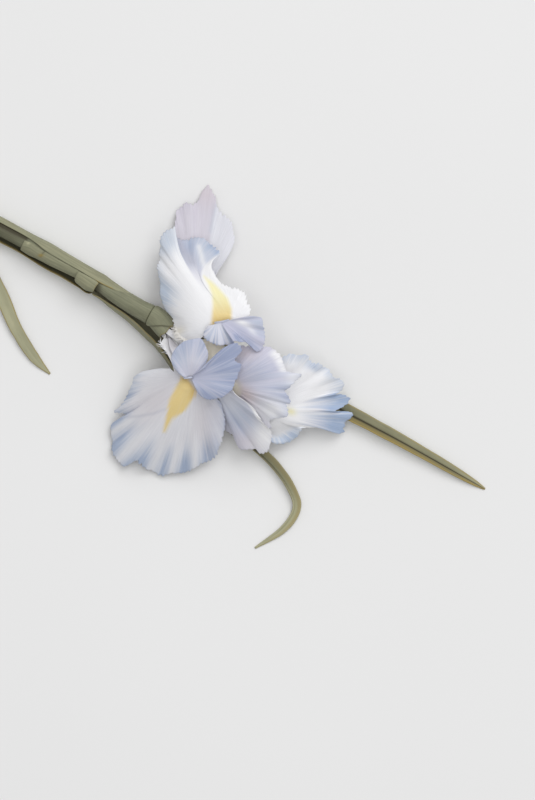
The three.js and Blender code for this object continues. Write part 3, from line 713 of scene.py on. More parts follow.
def folded_leaf(sections, count, steps, seed, back=(), **paint):
    """A strip folded along its keel. Its back is what faces up between the walls."""
    s = np.linspace(0, 1, count)
    u = np.linspace(1, -1, steps)
    centre, _, rest, (level, upright) = axis_frames(sections, s)
    left, left_angle, right, right_angle = rest.T[..., None]
    left = left * (1 + 0.03 * rough(s, 40, seed)[:, None])
    right = right * (1 + 0.03 * rough(s, 36, seed + 1)[:, None])
    soft = np.sqrt(u * u + 0.012)
    on_left, on_right = left * (soft + u) / 2, right * (soft - u) / 2
    a, b = np.radians(left_angle), np.radians(right_angle)
    out, up = on_left * np.cos(a) - on_right * np.cos(b), on_left * np.sin(a) + on_right * np.sin(b)
    middle = centre[:, None] + level[:, None] * out[..., None] + upright[:, None] * up[..., None]
    width = np.where(u > 0, left, right)
    edge = (1 - np.abs(u)) * width
    length = run_length(centre)[:, None]
    return strip(middle, u[None], edge, width * u, length, LEAF_THICKNESS, 0.4, seed, paint, dict(back))


def leaf_ochre(place, u, edge, end):
    return 0.6 * smooth(0.8, 0.2, edge)


def spathe_inside_shade(place, u, edge, end):
    """Painted shade inside the spathe where it is folded, and lighter where it lies open."""
    curved = smooth(210, 240, place[0]) * smooth(514, 462, place[1])
    return 0.75 * smooth(210, 175, place[0]) + curved * (0.35 + 0.35 * smooth(0.3, -0.2, u))


def spathe_ochre(place, u, edge, end):
    return 0.4 * smooth(0.2, 0.6, u) * smooth(240, 255, place[0])


def far_wall_ochre(place, u, edge, end):
    """Ochre on the far wall, broken by dark blotches."""
    blotches = np.clip(0.5 + 0.6 * rough(place[0] / 110, 14, 91), 0, 1)
    return 0.6 * smooth(0.8, 0.2, edge) + 0.85 * smooth(-0.15, -0.6, u) * (1 - 0.45 * blotches)


def keel_shade(place, u, edge, end):
    """Painted shade along the keel, on the far wall, and where the leaf comes out from under the fall."""
    shaded = 0.1 * smooth(392, 362, place[0]) + 0.5 * smooth(0.2, 0.0, u)
    return 0.75 * np.exp(-(((u + 0.05) / 0.24) ** 2)) + shaded


# The leaves' backs between the walls get painted shade and painted light, and their faces painted light.
near_back = {"dark": spathe_inside_shade, "light": 1.0, "ochre": spathe_ochre}
far_back = {"dark": keel_shade, "light": 0.9, "ochre": far_wall_ochre}
for name, sections, count, steps, seed, light, back in (
    ("lower_leaf", LOWER_LEAF, 200, 40, 21, 0.8, {}),
    ("near_spathe", NEAR_SPATHE, 300, 44, 23, 0.32, near_back),
    ("far_spathe", FAR_SPATHE, 260, 44, 25, 0.5, far_back),
):
    leaf = folded_leaf(sections, count, steps, seed, back, ochre=leaf_ochre, light=light, dark=0)
    make_piece(name, "leaf", [leaf], LEAF_PLASTIC)

# ---- petals ----

BLADE_STEPS = 12  # rows between a blade's base and its rim
HAFT_STEPS = 5  # mesh rows to each row of a haft
TOWARDS_RIM = 0.85  # below 1, mesh rows lie closer together near the rim
PLEAT_DEPTH = 0.6  # of the drawn height of each pleat
SOFT_REACH = 2.6  # mm of rim over which its bends are evened out further in, unless a net says
PETAL_SPACING = 0.62  # mm between mesh rows
FLAT_PETAL_SPACING = 0.7
CREST_SPACING = 0.5
CREST_DRAPE = 0.8  # as a net's "drape": below 1 a blade climbs early, above 1 late


def foot_rows(net, ring, half_width, t):
    """Rows from a claw down in the cup to the end of its haft."""
    level, upright = cross_axes(MOUTH_DIRECTION)
    c, s = math.cos(math.radians(net["angle"])), math.sin(math.radians(net["angle"]))
    radial, tangent = level * c + upright * s, upright * c - level * s
    sides = np.array([-1, 0, 1] if net["flip"] else [1, 0, -1])[:, None]
    claw = MOUTH + radial * ring + tangent * half_width * sides
    rows = [along(claw - MOUTH_DIRECTION * depth, t) for depth in CLAW_DEPTHS]
    return rows + [spots(along(row, t)) for row in net["haft"]]


class Blade:
    """A grid of points from a petal's claw to its rim, which can be pleated and painted.

    f runs from -1 at the claw through 0 at the blade's base to 1 at the rim, and t round the rim.
    """

    def __init__(self, net, spacing, seed):
        rim = [spot + [net.get("lift", 0)] * (4 - len(spot)) for spot in net["rim"]]
        around = evenly(rim, [0])[1] * GRID
        columns = max(24, int(around / spacing * 1.5))
        t = np.linspace(0, 1, columns)
        self.rim = evenly(rim, t)[0]
        edge, lift = spots(self.rim[:, :3]), self.rim[:, 3]
        foot = spots(along(net["base"], t))
        haft = foot_rows(net, PETAL_RING, CLAW_HALF_WIDTH, t) if "haft" in net else []
        rows, ways = haft + [foot], [*np.linspace(-1, 0, len(haft), endpoint=False), 0.0]
        soft_edge = softened(edge, net.get("soft", SOFT_REACH) / around * columns)
        for f in np.arange(1, BLADE_STEPS + 1) / BLADE_STEPS:
            outer = soft_edge + (edge - soft_edge) * smooth(0.5, 1, f)
            row = foot + (outer - foot) * f
            climb = (outer[:, 2] - foot[:, 2]) * f ** net.get("drape", CREST_DRAPE)
            row[:, 2] = foot[:, 2] + climb + lift * math.sin(math.pi * f)
            rows.append(row)
            ways.append(f)
        self.length = float(np.median(np.linalg.norm(edge - foot, axis=1)))
        blade = np.linspace(0, 1, max(16, int(self.length / spacing)) + 1) ** TOWARDS_RIM * BLADE_STEPS
        s = np.concatenate([np.arange(len(haft) * HAFT_STEPS) / HAFT_STEPS,
                            len(haft) + blade]) / (len(rows) - 1)
        self.points = along(np.stack(rows), s)
        self.f = np.broadcast_to(along(np.array(ways)[:, None], s), self.points.shape[:2])
        self.t = np.broadcast_to(t, self.points.shape[:2])
        self.around, self.seed, self.paint = around, seed, {}

    def t_at(self, column, row):
        """How far round the rim the given sheet position is."""
        away = np.hypot(self.rim[:, 0] - column, self.rim[:, 1] - row)
        return float(np.argmin(away) / (len(away) - 1))

    def beside(self, column, row, width):
        """1 on the vein that ends at a rim position, fading to each side over a width in mm."""
        return np.exp(-(((self.t - self.t_at(column, row)) * self.around / width) ** 2))

    def pleats(self, reach, *folds):
        """Rounded folds along veins: each by column and row on the rim, width and height in mm."""
        for column, row, width, height in folds:
            fold = self.beside(column, row, width) * smooth(1 - reach, 1, self.f)
            self.points[..., 2] += PLEAT_DEPTH * height * fold

    def cut_rim(self, waves, height, pitch, depth):
        """Small waves round the rim, and sharp, uneven teeth at about this pitch and depth in mm."""
        wave = rough(self.t, waves, self.seed + 31) + 0.5 * rough(self.t, waves * 2, self.seed + 32)
        self.points[..., 2] += height * wave * smooth(0.65, 1, self.f) ** 1.5
        way = self.t * self.around / pitch + 0.6 * rough(self.t, int(self.around / 9), self.seed + 41)
        tooth = np.abs((way % 1) * 2 - 1)
        size = 0.65 + 0.6 * rough(self.t, int(self.around / 5), self.seed + 42)
        fray = 0.35 * rough(self.t, int(self.around / 0.9), self.seed + 43)
        outward = unit(np.gradient(self.points, axis=0))
        reach = np.clip((self.f * self.length - self.length + 3.5 * depth) / (3.5 * depth), 0, 1)
        cut = depth * (np.clip(size, 0.1, 1.3) * (tooth - 0.5) + fray) * reach
        self.points += outward * cut[..., None]
        self.place = sheet_of(self.points)
        return self.place

    def bend(self, mask, dx=0.0, dy=0.0, dz=0.0):
        self.points += mask[..., None] * np.array([dx, dy, dz])

    def level_out(self, reach):
        """Evens the heights across the veins, further in than the rim, over this many mm of rim."""
        cells = reach / self.around * self.f.shape[1]
        even = np.stack([softened(row[:, 2:], cells)[:, 0] for row in self.points])
        blend = smooth(0.97, 0.6, self.f) * smooth(0, 0.15, self.f)
        blend = blend * smooth(0, 0.06, self.t) * smooth(1, 0.94, self.t)
        self.points[..., 2] += (even - self.points[..., 2]) * blend

    def margin(self, depth, seed=0, uneven=0.5):
        """1 at the rim, fading inward over about this share of the blade, in uneven tongues."""
        reach = np.maximum(depth * (1 + uneven * rough(self.t, 34, self.seed + seed + 51)), 0.02)
        return np.clip(1 - (1 - self.f) / reach, 0, 1) ** 1.2

    def between(self, first, last, soft=0.02):
        """1 for veins that end between two sheet positions on the rim."""
        a, b = sorted((self.t_at(*first), self.t_at(*last)))
        return smooth(a - soft, a + soft, self.t) * smooth(b + soft, b - soft, self.t)

    def add(self, **masks):
        for key, mask in masks.items():
            self.paint[key] = np.clip(self.paint.get(key, 0) + mask * np.ones(self.f.shape), 0, 1)

    def strokes(self, key, share, width, fade, *ends):
        """Paint on the veins that end at rim positions, over a width in mm, coming in over f."""
        for column, row in ends:
            self.add(**{key: share * self.beside(column, row, width) * smooth(*fade, self.f)})

    def pale_haft(self, cream):
        haft = smooth(0.02, -0.2, self.f)
        self.add(cream=cream * haft, pale=haft)

    def shell(self, thickness=PETAL_THICKNESS):
        thin = RIM_THICKNESS + (thickness - RIM_THICKNESS) * smooth(1.0, 0.93, self.f)
        side = np.minimum(self.t, 1 - self.t) * self.around
        vein = vein_of((self.t - 0.5) * self.around, self.f * self.length, self.seed)
        return shell(self.points, np.minimum(thin, RIM_THICKNESS + side * 0.3),
                     {**self.paint, "vein": vein})


# A petal's net: its claw's angle round the cup, its haft's rows, its blade's base, and its rim. The fourth
# number of a spot on the rim says how far the vein that ends there bulges up.
FALL_1 = {
    "angle": 30, "flip": False,
    "haft": [
        [[193.5, 327, 20], [195, 331, 18], [196.5, 335, 17]],
        [[208, 331, 26], [212, 336.5, 23.5], [215, 341, 22]],
        [[215, 329, 32], [222, 334, 30.5], [229, 338, 30]],
    ],
    "base": [[207, 332, 34.5], [210, 325, 35.5], [218, 320, 36], [228, 318, 36], [239, 320, 35.5]],
    "rim": [
        [201, 338.5, 34], [192, 341.5, 31, 1], [183.5, 340.5, 27, 1.5], [178, 335.5, 24.5, 2],
        [174.6, 325.5, 22, 2], [171.4, 316.5, 21.5, 2], [165, 308.8, 21, 2],
        [161.2, 298.6, 20.5, 2], [160, 291, 20.5, 2],
        [159.8, 282, 20, 2], [158, 273, 20, 2], [157, 266.7, 20, 2], [159.8, 259, 20, 2],
        [158.8, 252.7, 20, 2], [160.4, 246.3, 20, 2], [159.8, 239.5, 20.5, 2], [166.3, 231, 21, 2],
        [174.6, 226.6, 22, 2], [173.6, 231, 18, 1.5], [178, 238.5, 12.5, 1], [186.7, 240, 12.5, 1],
        [195.7, 236.8, 13, 1], [203, 238.6, 15, 1], [211, 243.8, 19, 1], [219.3, 253.3, 24.5, 1],
        [213.5, 259.5, 27, 1], [211.5, 266.7, 28.8, 1], [214.8, 274.4, 30.3, 1], [221.2, 283.3, 32, 1],
        [229, 287.1, 32, 1], [237.8, 288.4, 32.5, 1], [244.1, 293.5, 32.5, 1], [247, 301.2, 33, 1],
        [250, 307.6, 33.5, 0.5], [249, 315.5, 35],
    ],
    "drape": 1.3, "soft": 8,
}
FALL_2 = {
    "angle": 150, "flip": True,
    "haft": [
        [[161.5, 343, 20.5], [169, 342.5, 18.5], [176, 340.5, 18]],
        [[167.5, 354, 26], [174, 353.5, 24.5], [180, 352.5, 25]],
        [[172.5, 365, 31], [181, 366, 30], [189, 364.5, 31]],
    ],
    "base": [[174, 372, 32.5], [179, 380, 33.5], [187, 385, 34], [196, 388, 33.5], [203, 391, 32.5]],
    "rim": [
        [170, 368.5, 30], [157, 368.8, 24], [144, 371.3, 20], [135, 376, 17], [132.5, 383, 15.5],
        [128, 393, 13], [124.5, 400, 11], [118.5, 408, 9], [113, 412, 7.5], [123, 413.5, 9],
        [128, 416.5, 9.5], [118, 419.5, 6.5], [112, 424, 5], [110.8, 430, 4], [111.2, 437, 3.5],
        [112.8, 442, 3.5], [111.5, 448, 3.8], [113.5, 454.5, 4], [117.3, 460, 4.5], [123.5, 466.3, 5],
        [130.5, 463.5, 6.5], [136, 460.6, 8], [140, 463.5, 6.5], [144.5, 468, 5], [151, 470.8, 4],
        [157, 474, 3.5], [163, 475.5, 3.5], [171.5, 473, 4], [180.5, 473.2, 5], [187, 471.5, 6],
        [195, 468, 7], [203, 462.8, 9], [210, 460.6, 10], [215.5, 456, 12], [219, 447.5, 14],
        [221.8, 440, 16], [224, 432, 17.5], [225, 423.5, 19], [223.4, 411.5, 22], [219, 400.4, 25],
        [206, 394, 29],
    ],
    "drape": 1.3, "soft": 5,
}
FALL_3 = {
    "angle": 270, "flip": False,
    "haft": [
        [[190, 341, 10], [187, 345, 9.5], [183.5, 348.5, 10]],
        [[212, 357, 10], [208, 361, 9.5], [204, 365, 10]],
        [[235, 374, 12.5], [230, 379, 12], [225.5, 384, 12.5]],
        [[256, 391, 17], [250, 397, 16], [245, 403, 16.5]],
    ],
    "base": [[268, 396, 20], [273, 402, 20.5], [275, 409, 20.5], [272, 417, 20], [265, 423, 18.5]],
    "rim": [
        [268, 380, 22], [276, 363, 24], [284, 356.5, 24.5], [291, 353.8, 24], [297, 355.2, 24],
        [303.5, 354.4, 24], [308, 356, 23.5], [310, 360.5, 23], [314, 363.5, 22.8], [320, 363, 22.3],
        [322.5, 366, 22], [328.5, 368.8, 21], [330.5, 373.5, 20.5], [335, 378, 19.5], [340.6, 379.2, 18.5],
        [343.6, 383, 17.8], [343.6, 387.5, 16.5], [340, 391.5, 15.5], [335, 394.3, 18],
        [340.6, 394.3, 14.5], [346.3, 395.8, 12.5], [349.6, 398.5, 11],
        [347.8, 403, 11.5], [343, 407, 13], [335.2, 411.3, 15],
        [343.4, 411.3, 11.5], [350.5, 412, 9.5], [352.8, 414.6, 8.5], [350.5, 418.5, 8], [345.4, 421.6, 8],
        [344.5, 427, 7], [343.4, 431.5, 6], [338.7, 433.6, 6.5], [332.5, 431.5, 8], [326, 429, 9.5],
        [319.5, 427.3, 11], [311, 427.8, 12], [303.6, 427.8, 13], [301, 431.5, 10.5], [297.3, 436.5, 8.5],
        [289, 441.8, 7.2], [281, 443.8, 7.5], [273.5, 443.4, 8.5], [269.8, 440.5, 9.5], [262, 432, 12],
    ],
    "drape": 1.3, "soft": 4.5,
}
STANDARD_1 = {
    "angle": 330, "flip": False,
    "haft": [
        [[182, 320.5, 11.5], [185.5, 323.5, 11], [189, 326.5, 11]],
        [[182, 303, 10.5], [189, 306, 10.5], [196, 309, 10.5]],
    ],
    "base": [[184, 290, 10], [192, 286, 10.5], [201, 285, 11], [211, 287, 11.5]],
    "rim": [
        [179, 272, 9.5], [176, 250, 7], [174.8, 228, 5.5], [176, 218.3, 5], [176.8, 209.8, 4.5],
        [182, 207.4, 4], [184, 203.4, 4], [188.2, 203, 4], [193.8, 204.2, 4], [198, 201, 3.5],
        [201, 194, 2.5], [204.5, 189.5, 1.5], [207.8, 185.6, 0.8], [211, 190, 1.5], [215.2, 196.8, 2.5],
        [216.8, 205.5, 4], [220.5, 212.4, 5.2], [227.4, 218, 7], [232, 224.6, 8], [233.4, 233.6, 8.5],
        [234.8, 239.5, 9], [231.4, 249, 10], [227.6, 256.5, 10.7], [222.4, 263, 11.3], [216, 271.5, 12],
    ],
    "drape": 1,
}
STANDARD_2 = {
    "angle": 90, "flip": True,
    "haft": [
        [[190, 339, 20.5], [187, 343, 20.5], [183.5, 346.5, 20.5]],
        [[216, 340, 34], [208, 349, 33], [202, 358, 31]],
        [[228, 352, 36.5], [220, 364, 35.5], [214, 373, 33]],
    ],
    "base": [[228, 371, 34], [233, 379.5, 34], [237, 386, 33.5], [238, 392.5, 31.5], [234, 397, 28]],
    "rim": [
        [236, 357, 34], [240, 346.5, 36], [248, 346, 37, 1], [257, 347, 38, 3], [267, 346.5, 38.5, 4],
        [272, 348.7, 38.5, 5], [276.8, 352, 38.5, 5], [281, 357, 38.5, 5], [283.5, 363.5, 38.5, 5],
        [286.5, 370.5, 38, 5], [294, 373, 37, 5], [302, 374.6, 36, 5], [295, 381.5, 36.5, 5],
        [289, 388, 37, 5], [285, 390.5, 37, 5], [288, 396, 36, 5], [290.6, 402.6, 35, 5],
        [286, 404.4, 35, 4], [287.6, 409.5, 34, 4], [287.6, 416.3, 33, 3], [281, 417.4, 32.5, 2],
        [274, 419.2, 31, 2], [270, 420.6, 29.5, 1], [271, 428.6, 26.5, 1], [266, 425, 27],
        [262, 416, 25.5], [250, 404, 27],
    ],
    "drape": 0.8, "soft": 6,
}
STANDARD_3 = {
    "angle": 210, "flip": True,
    "haft": [
        [[171, 350, 14.5], [176, 350.5, 12.5], [180, 350.5, 11.5]],
        [[184, 366, 15], [190, 364.5, 14], [195.5, 362, 14]],
        [[197, 385, 17], [204, 381.5, 18.5], [211, 377, 20.5]],
    ],
    "base": [[211, 398, 19], [218, 396.5, 24.5], [225, 393.5, 30], [230.5, 390, 34.5]],
    "rim": [
        [213, 403, 15.5], [217, 414, 12], [222, 424.5, 10.5], [226.5, 431.5, 10.5], [234, 436, 12],
        [236.5, 444, 12], [241, 449.2, 12.5], [248, 449.8, 13.5], [255.4, 448.9, 14], [259.3, 453, 14],
        [263.3, 453.2, 15], [268, 450, 17], [270, 444.8, 19], [271.7, 438, 21.5], [271, 431, 24],
        [267, 427, 26.5], [262.2, 421.5, 28.5], [257.5, 413.5, 30], [251.5, 406, 31.5],
        [244, 400.5, 33], [237, 395.5, 34.5], [232, 389.5, 35.5],
    ],
    "drape": 1,
}

SIGNAL_1 = [(204, 276.3), (212.2, 282), (219.9, 289.7), (227.6, 298.6), (231.4, 308.8), (231.4, 319),
            (222.4, 328), (211, 330), (212.2, 315.2), (212.9, 305), (212.2, 294.8), (208.4, 284.6)]
SIGNAL_2 = [(182, 375), (186.7, 377), (191.8, 384.1), (196.4, 390.2), (194.9, 396.3), (190.8, 402.4),
            (185.7, 410.6), (177.6, 414.7), (172.4, 418.8), (168.4, 425.9), (165.3, 432), (163.3, 432),
            (165.3, 421.8), (167.3, 411.6), (169.4, 400.4), (173.5, 391.2), (178.6, 382)]


def threads(edge, count, angle, length, seed, cream=0.0):
    """Frayed threads along an edge of sheet positions, angle in degrees up the sheet."""
    random = np.random.RandomState(seed)
    shells = []
    for t in np.linspace(0, 1, count):
        root = spots(along(edge, t))
        heading = math.radians(angle + random.uniform(-42, 42))
        reach = length * random.uniform(0.35, 1.0)
        forward = np.array([math.cos(heading), math.sin(heading), random.uniform(-0.35, 0.35)])
        side = np.array([-forward[1], forward[0], 0])
        w = np.linspace(0, 1, 7)[:, None]
        swing = side * random.uniform(-0.9, 0.9) * w * w
        middle = root - 0.6 * forward + forward * (reach + 0.6) * w + swing
        breadth = (0.16 * (1 - w) + 0.05) * np.array([-1, 0, 1])
        points = middle[:, None] + side * breadth[..., None]
        shells.append(shell(points, THREAD_THICKNESS, {"vein": 0 * points, "pale": 1.0, "cream": cream}))
    return shells


# Each petal is folded and cut at its rim, the falls are also bent, and then each is painted. Patches
# are placed by column and row, with their reach in squares.


def fall_1():
    b = Blade(FALL_1, PETAL_SPACING, 101)
    b.pleats(0.3, (165, 309, 5, -0.5), (160, 282, 7, 0.7), (158, 262, 5, -0.6), (160, 246, 4, 0.6),
             (168, 230, 4, -0.5))
    b.pleats(0.5, (236, 288, 5, 1.2), (244, 294, 3, -1.2), (247, 302, 3, 1.0), (190, 240, 4, -0.8),
             (199, 238, 4, 1.0))
    ends = ((178, 238.5), (195.7, 236.8), (211, 243.8), (219.3, 253.3), (211.5, 266.7), (221, 283))
    pull = np.interp(b.t[0], [b.t_at(*end) for end in ends], [0, 0.5, 0.85, 1, 0.35, 0])
    fan = softened(pull[:, None], 3)[:, 0]
    b.bend(fan * np.sin(np.pi * np.clip(b.f, 0, 1) ** 1.6), dx=-9, dy=0.4)
    b.level_out(12)
    b.bend(b.beside(174.6, 226.6, 9) * np.sin(np.pi * np.clip(b.f, 0, 1) ** 2.2), dx=-2.0, dy=-0.8)
    p = b.cut_rim(26, 0.4, 2.1, 1.6)
    left = b.between((171, 316), (174, 227))
    back = b.between((174.6, 231), (219.3, 253.3), 0.01)
    b.add(blue=0.7 * left * b.margin(0.30), violet=0.15 * left * b.margin(0.4, 1))
    b.add(blue=0.5 * patch(p, 163, 292, 12, 9, -20) + 0.35 * patch(p, 170, 243, 14, 8, 60))
    # The back panel behind the left lobe's ridge: violet and blue towards its rim, and painted shade along
    # the ridge on its back side.
    b.add(violet=0.7 * back * smooth(0.30, 0.75, b.f), blue=0.6 * back * smooth(0.45, 0.9, b.f))
    b.add(deep=0.5 * back * patch(p, 186, 246, 14, 12))
    b.add(shade=0.9 * back * near_line(p, [(178, 236), (183, 250), (190, 262)], 7) * smooth(0.4, 0.7, b.f))
    b.add(deep=0.8 * patch(p, 215, 249, 8, 5, -45)
          + 0.55 * back * near_line(p, [(179, 238), (184, 250)], 5))
    b.add(pale=0.7 * near_line(p, [(199, 247), (203, 262), (207, 272)], 3.0))
    gold = inside(p, SIGNAL_1, 2.6) * smooth(-0.2, 0.0, b.f)
    b.add(gold=gold, amber=0.9 * smooth(292, 326, p[1]), cream=0.6 * patch(p, 178, 331, 4, 7, -70))
    # pale at (164,262) is painted light on the left lobe, which slopes away from the light.
    b.add(pale=0.6 * patch(p, 164, 262, 8, 13, 70), blue=0.3 * patch(p, 166, 292, 14, 11))
    b.add(deep=0.1 * patch(p, 162, 290, 9, 9))
    b.pale_haft(0.3)
    tuft = ((176, 326, 23), (178.5, 332, 25), (182, 337.5, 27.5), (187, 341, 29.5))
    return [b.shell()] + threads(tuft, 60, 215, 4.2, 11, cream=0.35)


def fall_2():
    b = Blade(FALL_2, PETAL_SPACING, 202)
    b.pleats(0.62, (163, 475.5, 5.5, -2.2), (171.5, 473, 4.5, 2.0), (183, 472.5, 5, -2.4),
             (194, 468.5, 5, 2.0), (207, 461.5, 4, -1.6), (217, 452, 5, 1.2), (143, 467, 4, 1.4),
             (152, 471, 4, -1.0), (111, 430, 4, 1.4), (112, 441, 3, -1.4), (112, 450, 3, 1.0),
             (119, 462, 4, -1.2), (128, 465, 3, 1.0), (224, 434, 5, -1.0), (135, 376, 9, -0.6))
    upper = b.between((170, 368.5), (125, 414.2))
    b.bend(upper * smooth(0.6, 0.95, b.f), dz=0.6)
    p = b.cut_rim(30, 0.45, 2.4, 1.4)
    b.add(blue=0.85 * b.margin(0.36) * (1 - 0.7 * b.between((170, 368.5), (136, 376))), violet=0.12)
    # pale just below the haft is painted light on the top of the upper lobe.
    b.add(deep=0.5 * b.margin(0.24, 3, 0.9) * (1 - upper), pale=0.45 * patch(p, 166, 371, 12, 5, -10))
    b.strokes("deep", 0.8, 2.4, (0.62, 0.95), (163, 475), (185, 472), (209, 461), (140, 463), (112, 447),
              (112, 425), (126, 397))
    b.strokes("pale", 0.85, 2.6, (0.5, 0.8), (171, 473), (151, 471), (196, 468), (112, 434), (222, 440),
              (118, 460))
    b.add(rose=0.35 * patch(p, 160, 400, 34, 16, 30) + 0.35 * patch(p, 205, 420, 14, 30))
    b.add(shade=0.3 * near_line(p, [(165, 409), (154, 413.5), (140, 416), (128, 417)], 1.6))
    ragged = 0.7 * rough(b.t, 90, 5)
    gold = inside((p[0] + ragged, p[1] + ragged), SIGNAL_2, 2.6) * smooth(-0.3, -0.1, b.f)
    b.add(shade=(0.2 + 0.4 * patch(p, 216, 425, 12, 34)) * (1 - gold))
    b.add(gold=gold, amber=0.72 + 0.28 * near_line(p, [(184, 376), (190, 379), (196, 390), (194, 397)], 4))
    b.pale_haft(0.12)
    return [b.shell()] + threads(((161, 342.5, 20.8), (164.5, 348, 23), (168, 354.5, 26)), 26, 150, 3.6, 9)


def fall_3():
    b = Blade(FALL_3, PETAL_SPACING, 303)
    b.pleats(0.6, (291, 354, 4, 1.0), (298, 355, 3, -1.0), (304, 354.5, 3, 1.2), (311, 361, 3, -1.6),
             (320, 363, 3.5, 1.4), (326, 368, 3, -1.4), (333, 376, 4, 1.2), (343, 385, 3.5, -1.0),
             (348, 397, 3, 1.0), (351, 415, 3, 1.2))
    fold = b.between((303, 428), (270, 441), 0.01)
    b.bend(fold * smooth(0.25, 0.6, b.f) * smooth(1.0, 0.6, b.f), dz=-2.5)
    b.bend(fold * smooth(0.7, 1, b.f), dz=1.5)
    p = b.cut_rim(26, 0.4, 2.4, 1.2)
    upper = b.between((280, 358), (335, 392))
    right = b.between((335, 394), (319, 427))
    b.add(blue=0.4 * upper * b.margin(0.26) + right * b.margin(0.7),
          violet=0.4 * right * smooth(0.3, 0.8, b.f))
    b.add(deep=0.3 * upper * b.margin(0.2, 4) + right * b.margin(0.5, 5, 0.8))
    b.add(pale=0.8 * upper * smooth(0.85, 0.45, b.f), blue=0.9 * fold * smooth(0.55, 0.85, b.f))
    b.add(deep=0.4 * fold * smooth(0.7, 0.9, b.f) * patch(p, 290, 438, 12, 8))
    b.add(deep=0.5 * patch(p, 315, 368, 4, 6, 60) + 0.6 * right * b.margin(0.35, 2))
    b.add(violet=0.6 * patch(p, 336, 428, 10, 6))
    b.add(gold=0.8 * patch(p, 291, 411.5, 5, 3.5, -20))
    b.pale_haft(0.12)
    return [b.shell()]


def standard_1():
    b = Blade(STANDARD_1, FLAT_PETAL_SPACING, 404)
    b.pleats(0.8, (208, 187, 6, 1.6), (180, 207, 4, -0.8), (190, 203, 5, 0.8), (233, 232, 6, 1.0),
             (224, 216, 4, -0.8))
    p = b.cut_rim(18, 0.4, 2.4, 1.3)
    # Painted light and shade on the two sides of the fold down the standard: the right side paler and
    # bluer, the left side rosier, with a blue line along the fold.
    right = smooth(-2.5, 2.5, p[0] - np.interp(p[1], [205, 218, 231, 262], [216.7, 213.5, 211, 207]))
    b.add(violet=0.2 + 0.3 * b.margin(0.4), rose=0.3 * patch(p, 206, 192, 12, 14) + 0.25 * (1 - right))
    b.add(pale=0.55 * right,
          blue=0.45 * near_line(p, [(216.5, 205), (213.5, 218), (211, 231)], 3) + 0.25 * right)
    return [b.shell()]


def standard_2():
    b = Blade(STANDARD_2, PETAL_SPACING, 505)
    b.pleats(0.6, (258, 347, 5, 0.6), (276, 352, 4, 0.8), (288, 396, 4, 0.5), (287, 412, 4, 0.5))
    p = b.cut_rim(24, 0.5, 2.2, 1.0)
    b.add(violet=0.5, blue=0.75 * b.between((287, 372), (270, 420)) * b.margin(0.7))
    # pale at (272,411) is painted light on the low part, which slopes away from the light.
    b.add(deep=0.5 * b.between((287, 392), (272, 420)) * b.margin(0.5, 2),
          pale=0.85 * patch(p, 272, 411, 18, 14))
    # Rose patches at the base: the cloth's warm tint, and in the hollow at (246,394) painted shade as well.
    b.add(rose=0.9 * patch(p, 246, 394, 14, 7, -42) + 0.5 * patch(p, 246, 353, 12, 8))
    b.add(blue=0.35 * patch(p, 262, 372, 16, 14), deep=0.3 * patch(p, 260, 374, 16, 14))
    b.strokes("deep", 0.35, 1.8, (0.35, 0.8), (289, 389), (287, 398), (289, 406), (286, 416), (258, 347),
              (284, 366))
    b.add(pale=0.8 * b.between((274, 350), (288, 371)) * smooth(0.8, 0.95, b.f)
          + 0.6 * patch(p, 294, 378, 9, 8))
    b.add(cream=0.95 * smooth(0.15, -0.05, b.f) * smooth(198, 206, p[0]), pale=smooth(0.02, -0.2, b.f))
    return [b.shell()]


def standard_3():
    b = Blade(STANDARD_3, PETAL_SPACING, 606)
    b.pleats(0.6, (226, 431, 4, 1.0), (238, 446, 4, -1.0), (250, 450, 4, 0.8), (266, 451, 4, 1.0))
    p = b.cut_rim(20, 0.4, 2.2, 0.9)
    b.add(violet=0.3, blue=patch(p, 238, 413, 30, 14, -35), rose=0.3 * patch(p, 250, 442, 14, 8))
    # pale at (226,402) is painted light where the standard lies in standard_2's shade.
    b.add(pale=0.45 * patch(p, 226, 402, 18, 12, -35), deep=0.1 * patch(p, 238, 413, 30, 14, -35))
    b.strokes("deep", 0.45, 2.0, (0.95, 0.3), (217, 414), (228, 433), (240, 449), (256, 449))
    # pale along the upper right rim, and painted light at (264,438) on the side that standard_2 shades.
    b.add(pale=0.9 * b.between((271, 434), (233, 391)) * smooth(0.75, 0.9, b.f)
          + patch(p, 264, 438, 12, 20))
    b.pale_haft(0.12)
    return [b.shell()]


for name, petal in (("fall_1", fall_1), ("fall_2", fall_2), ("fall_3", fall_3)):
    make_piece(name, "fall", petal(), FALL)
for name, petal in (("standard_1", standard_1), ("standard_2", standard_2), ("standard_3", standard_3)):
    make_piece(name, "standard", petal(), STANDARD)

# ---- style arms and their crests ----

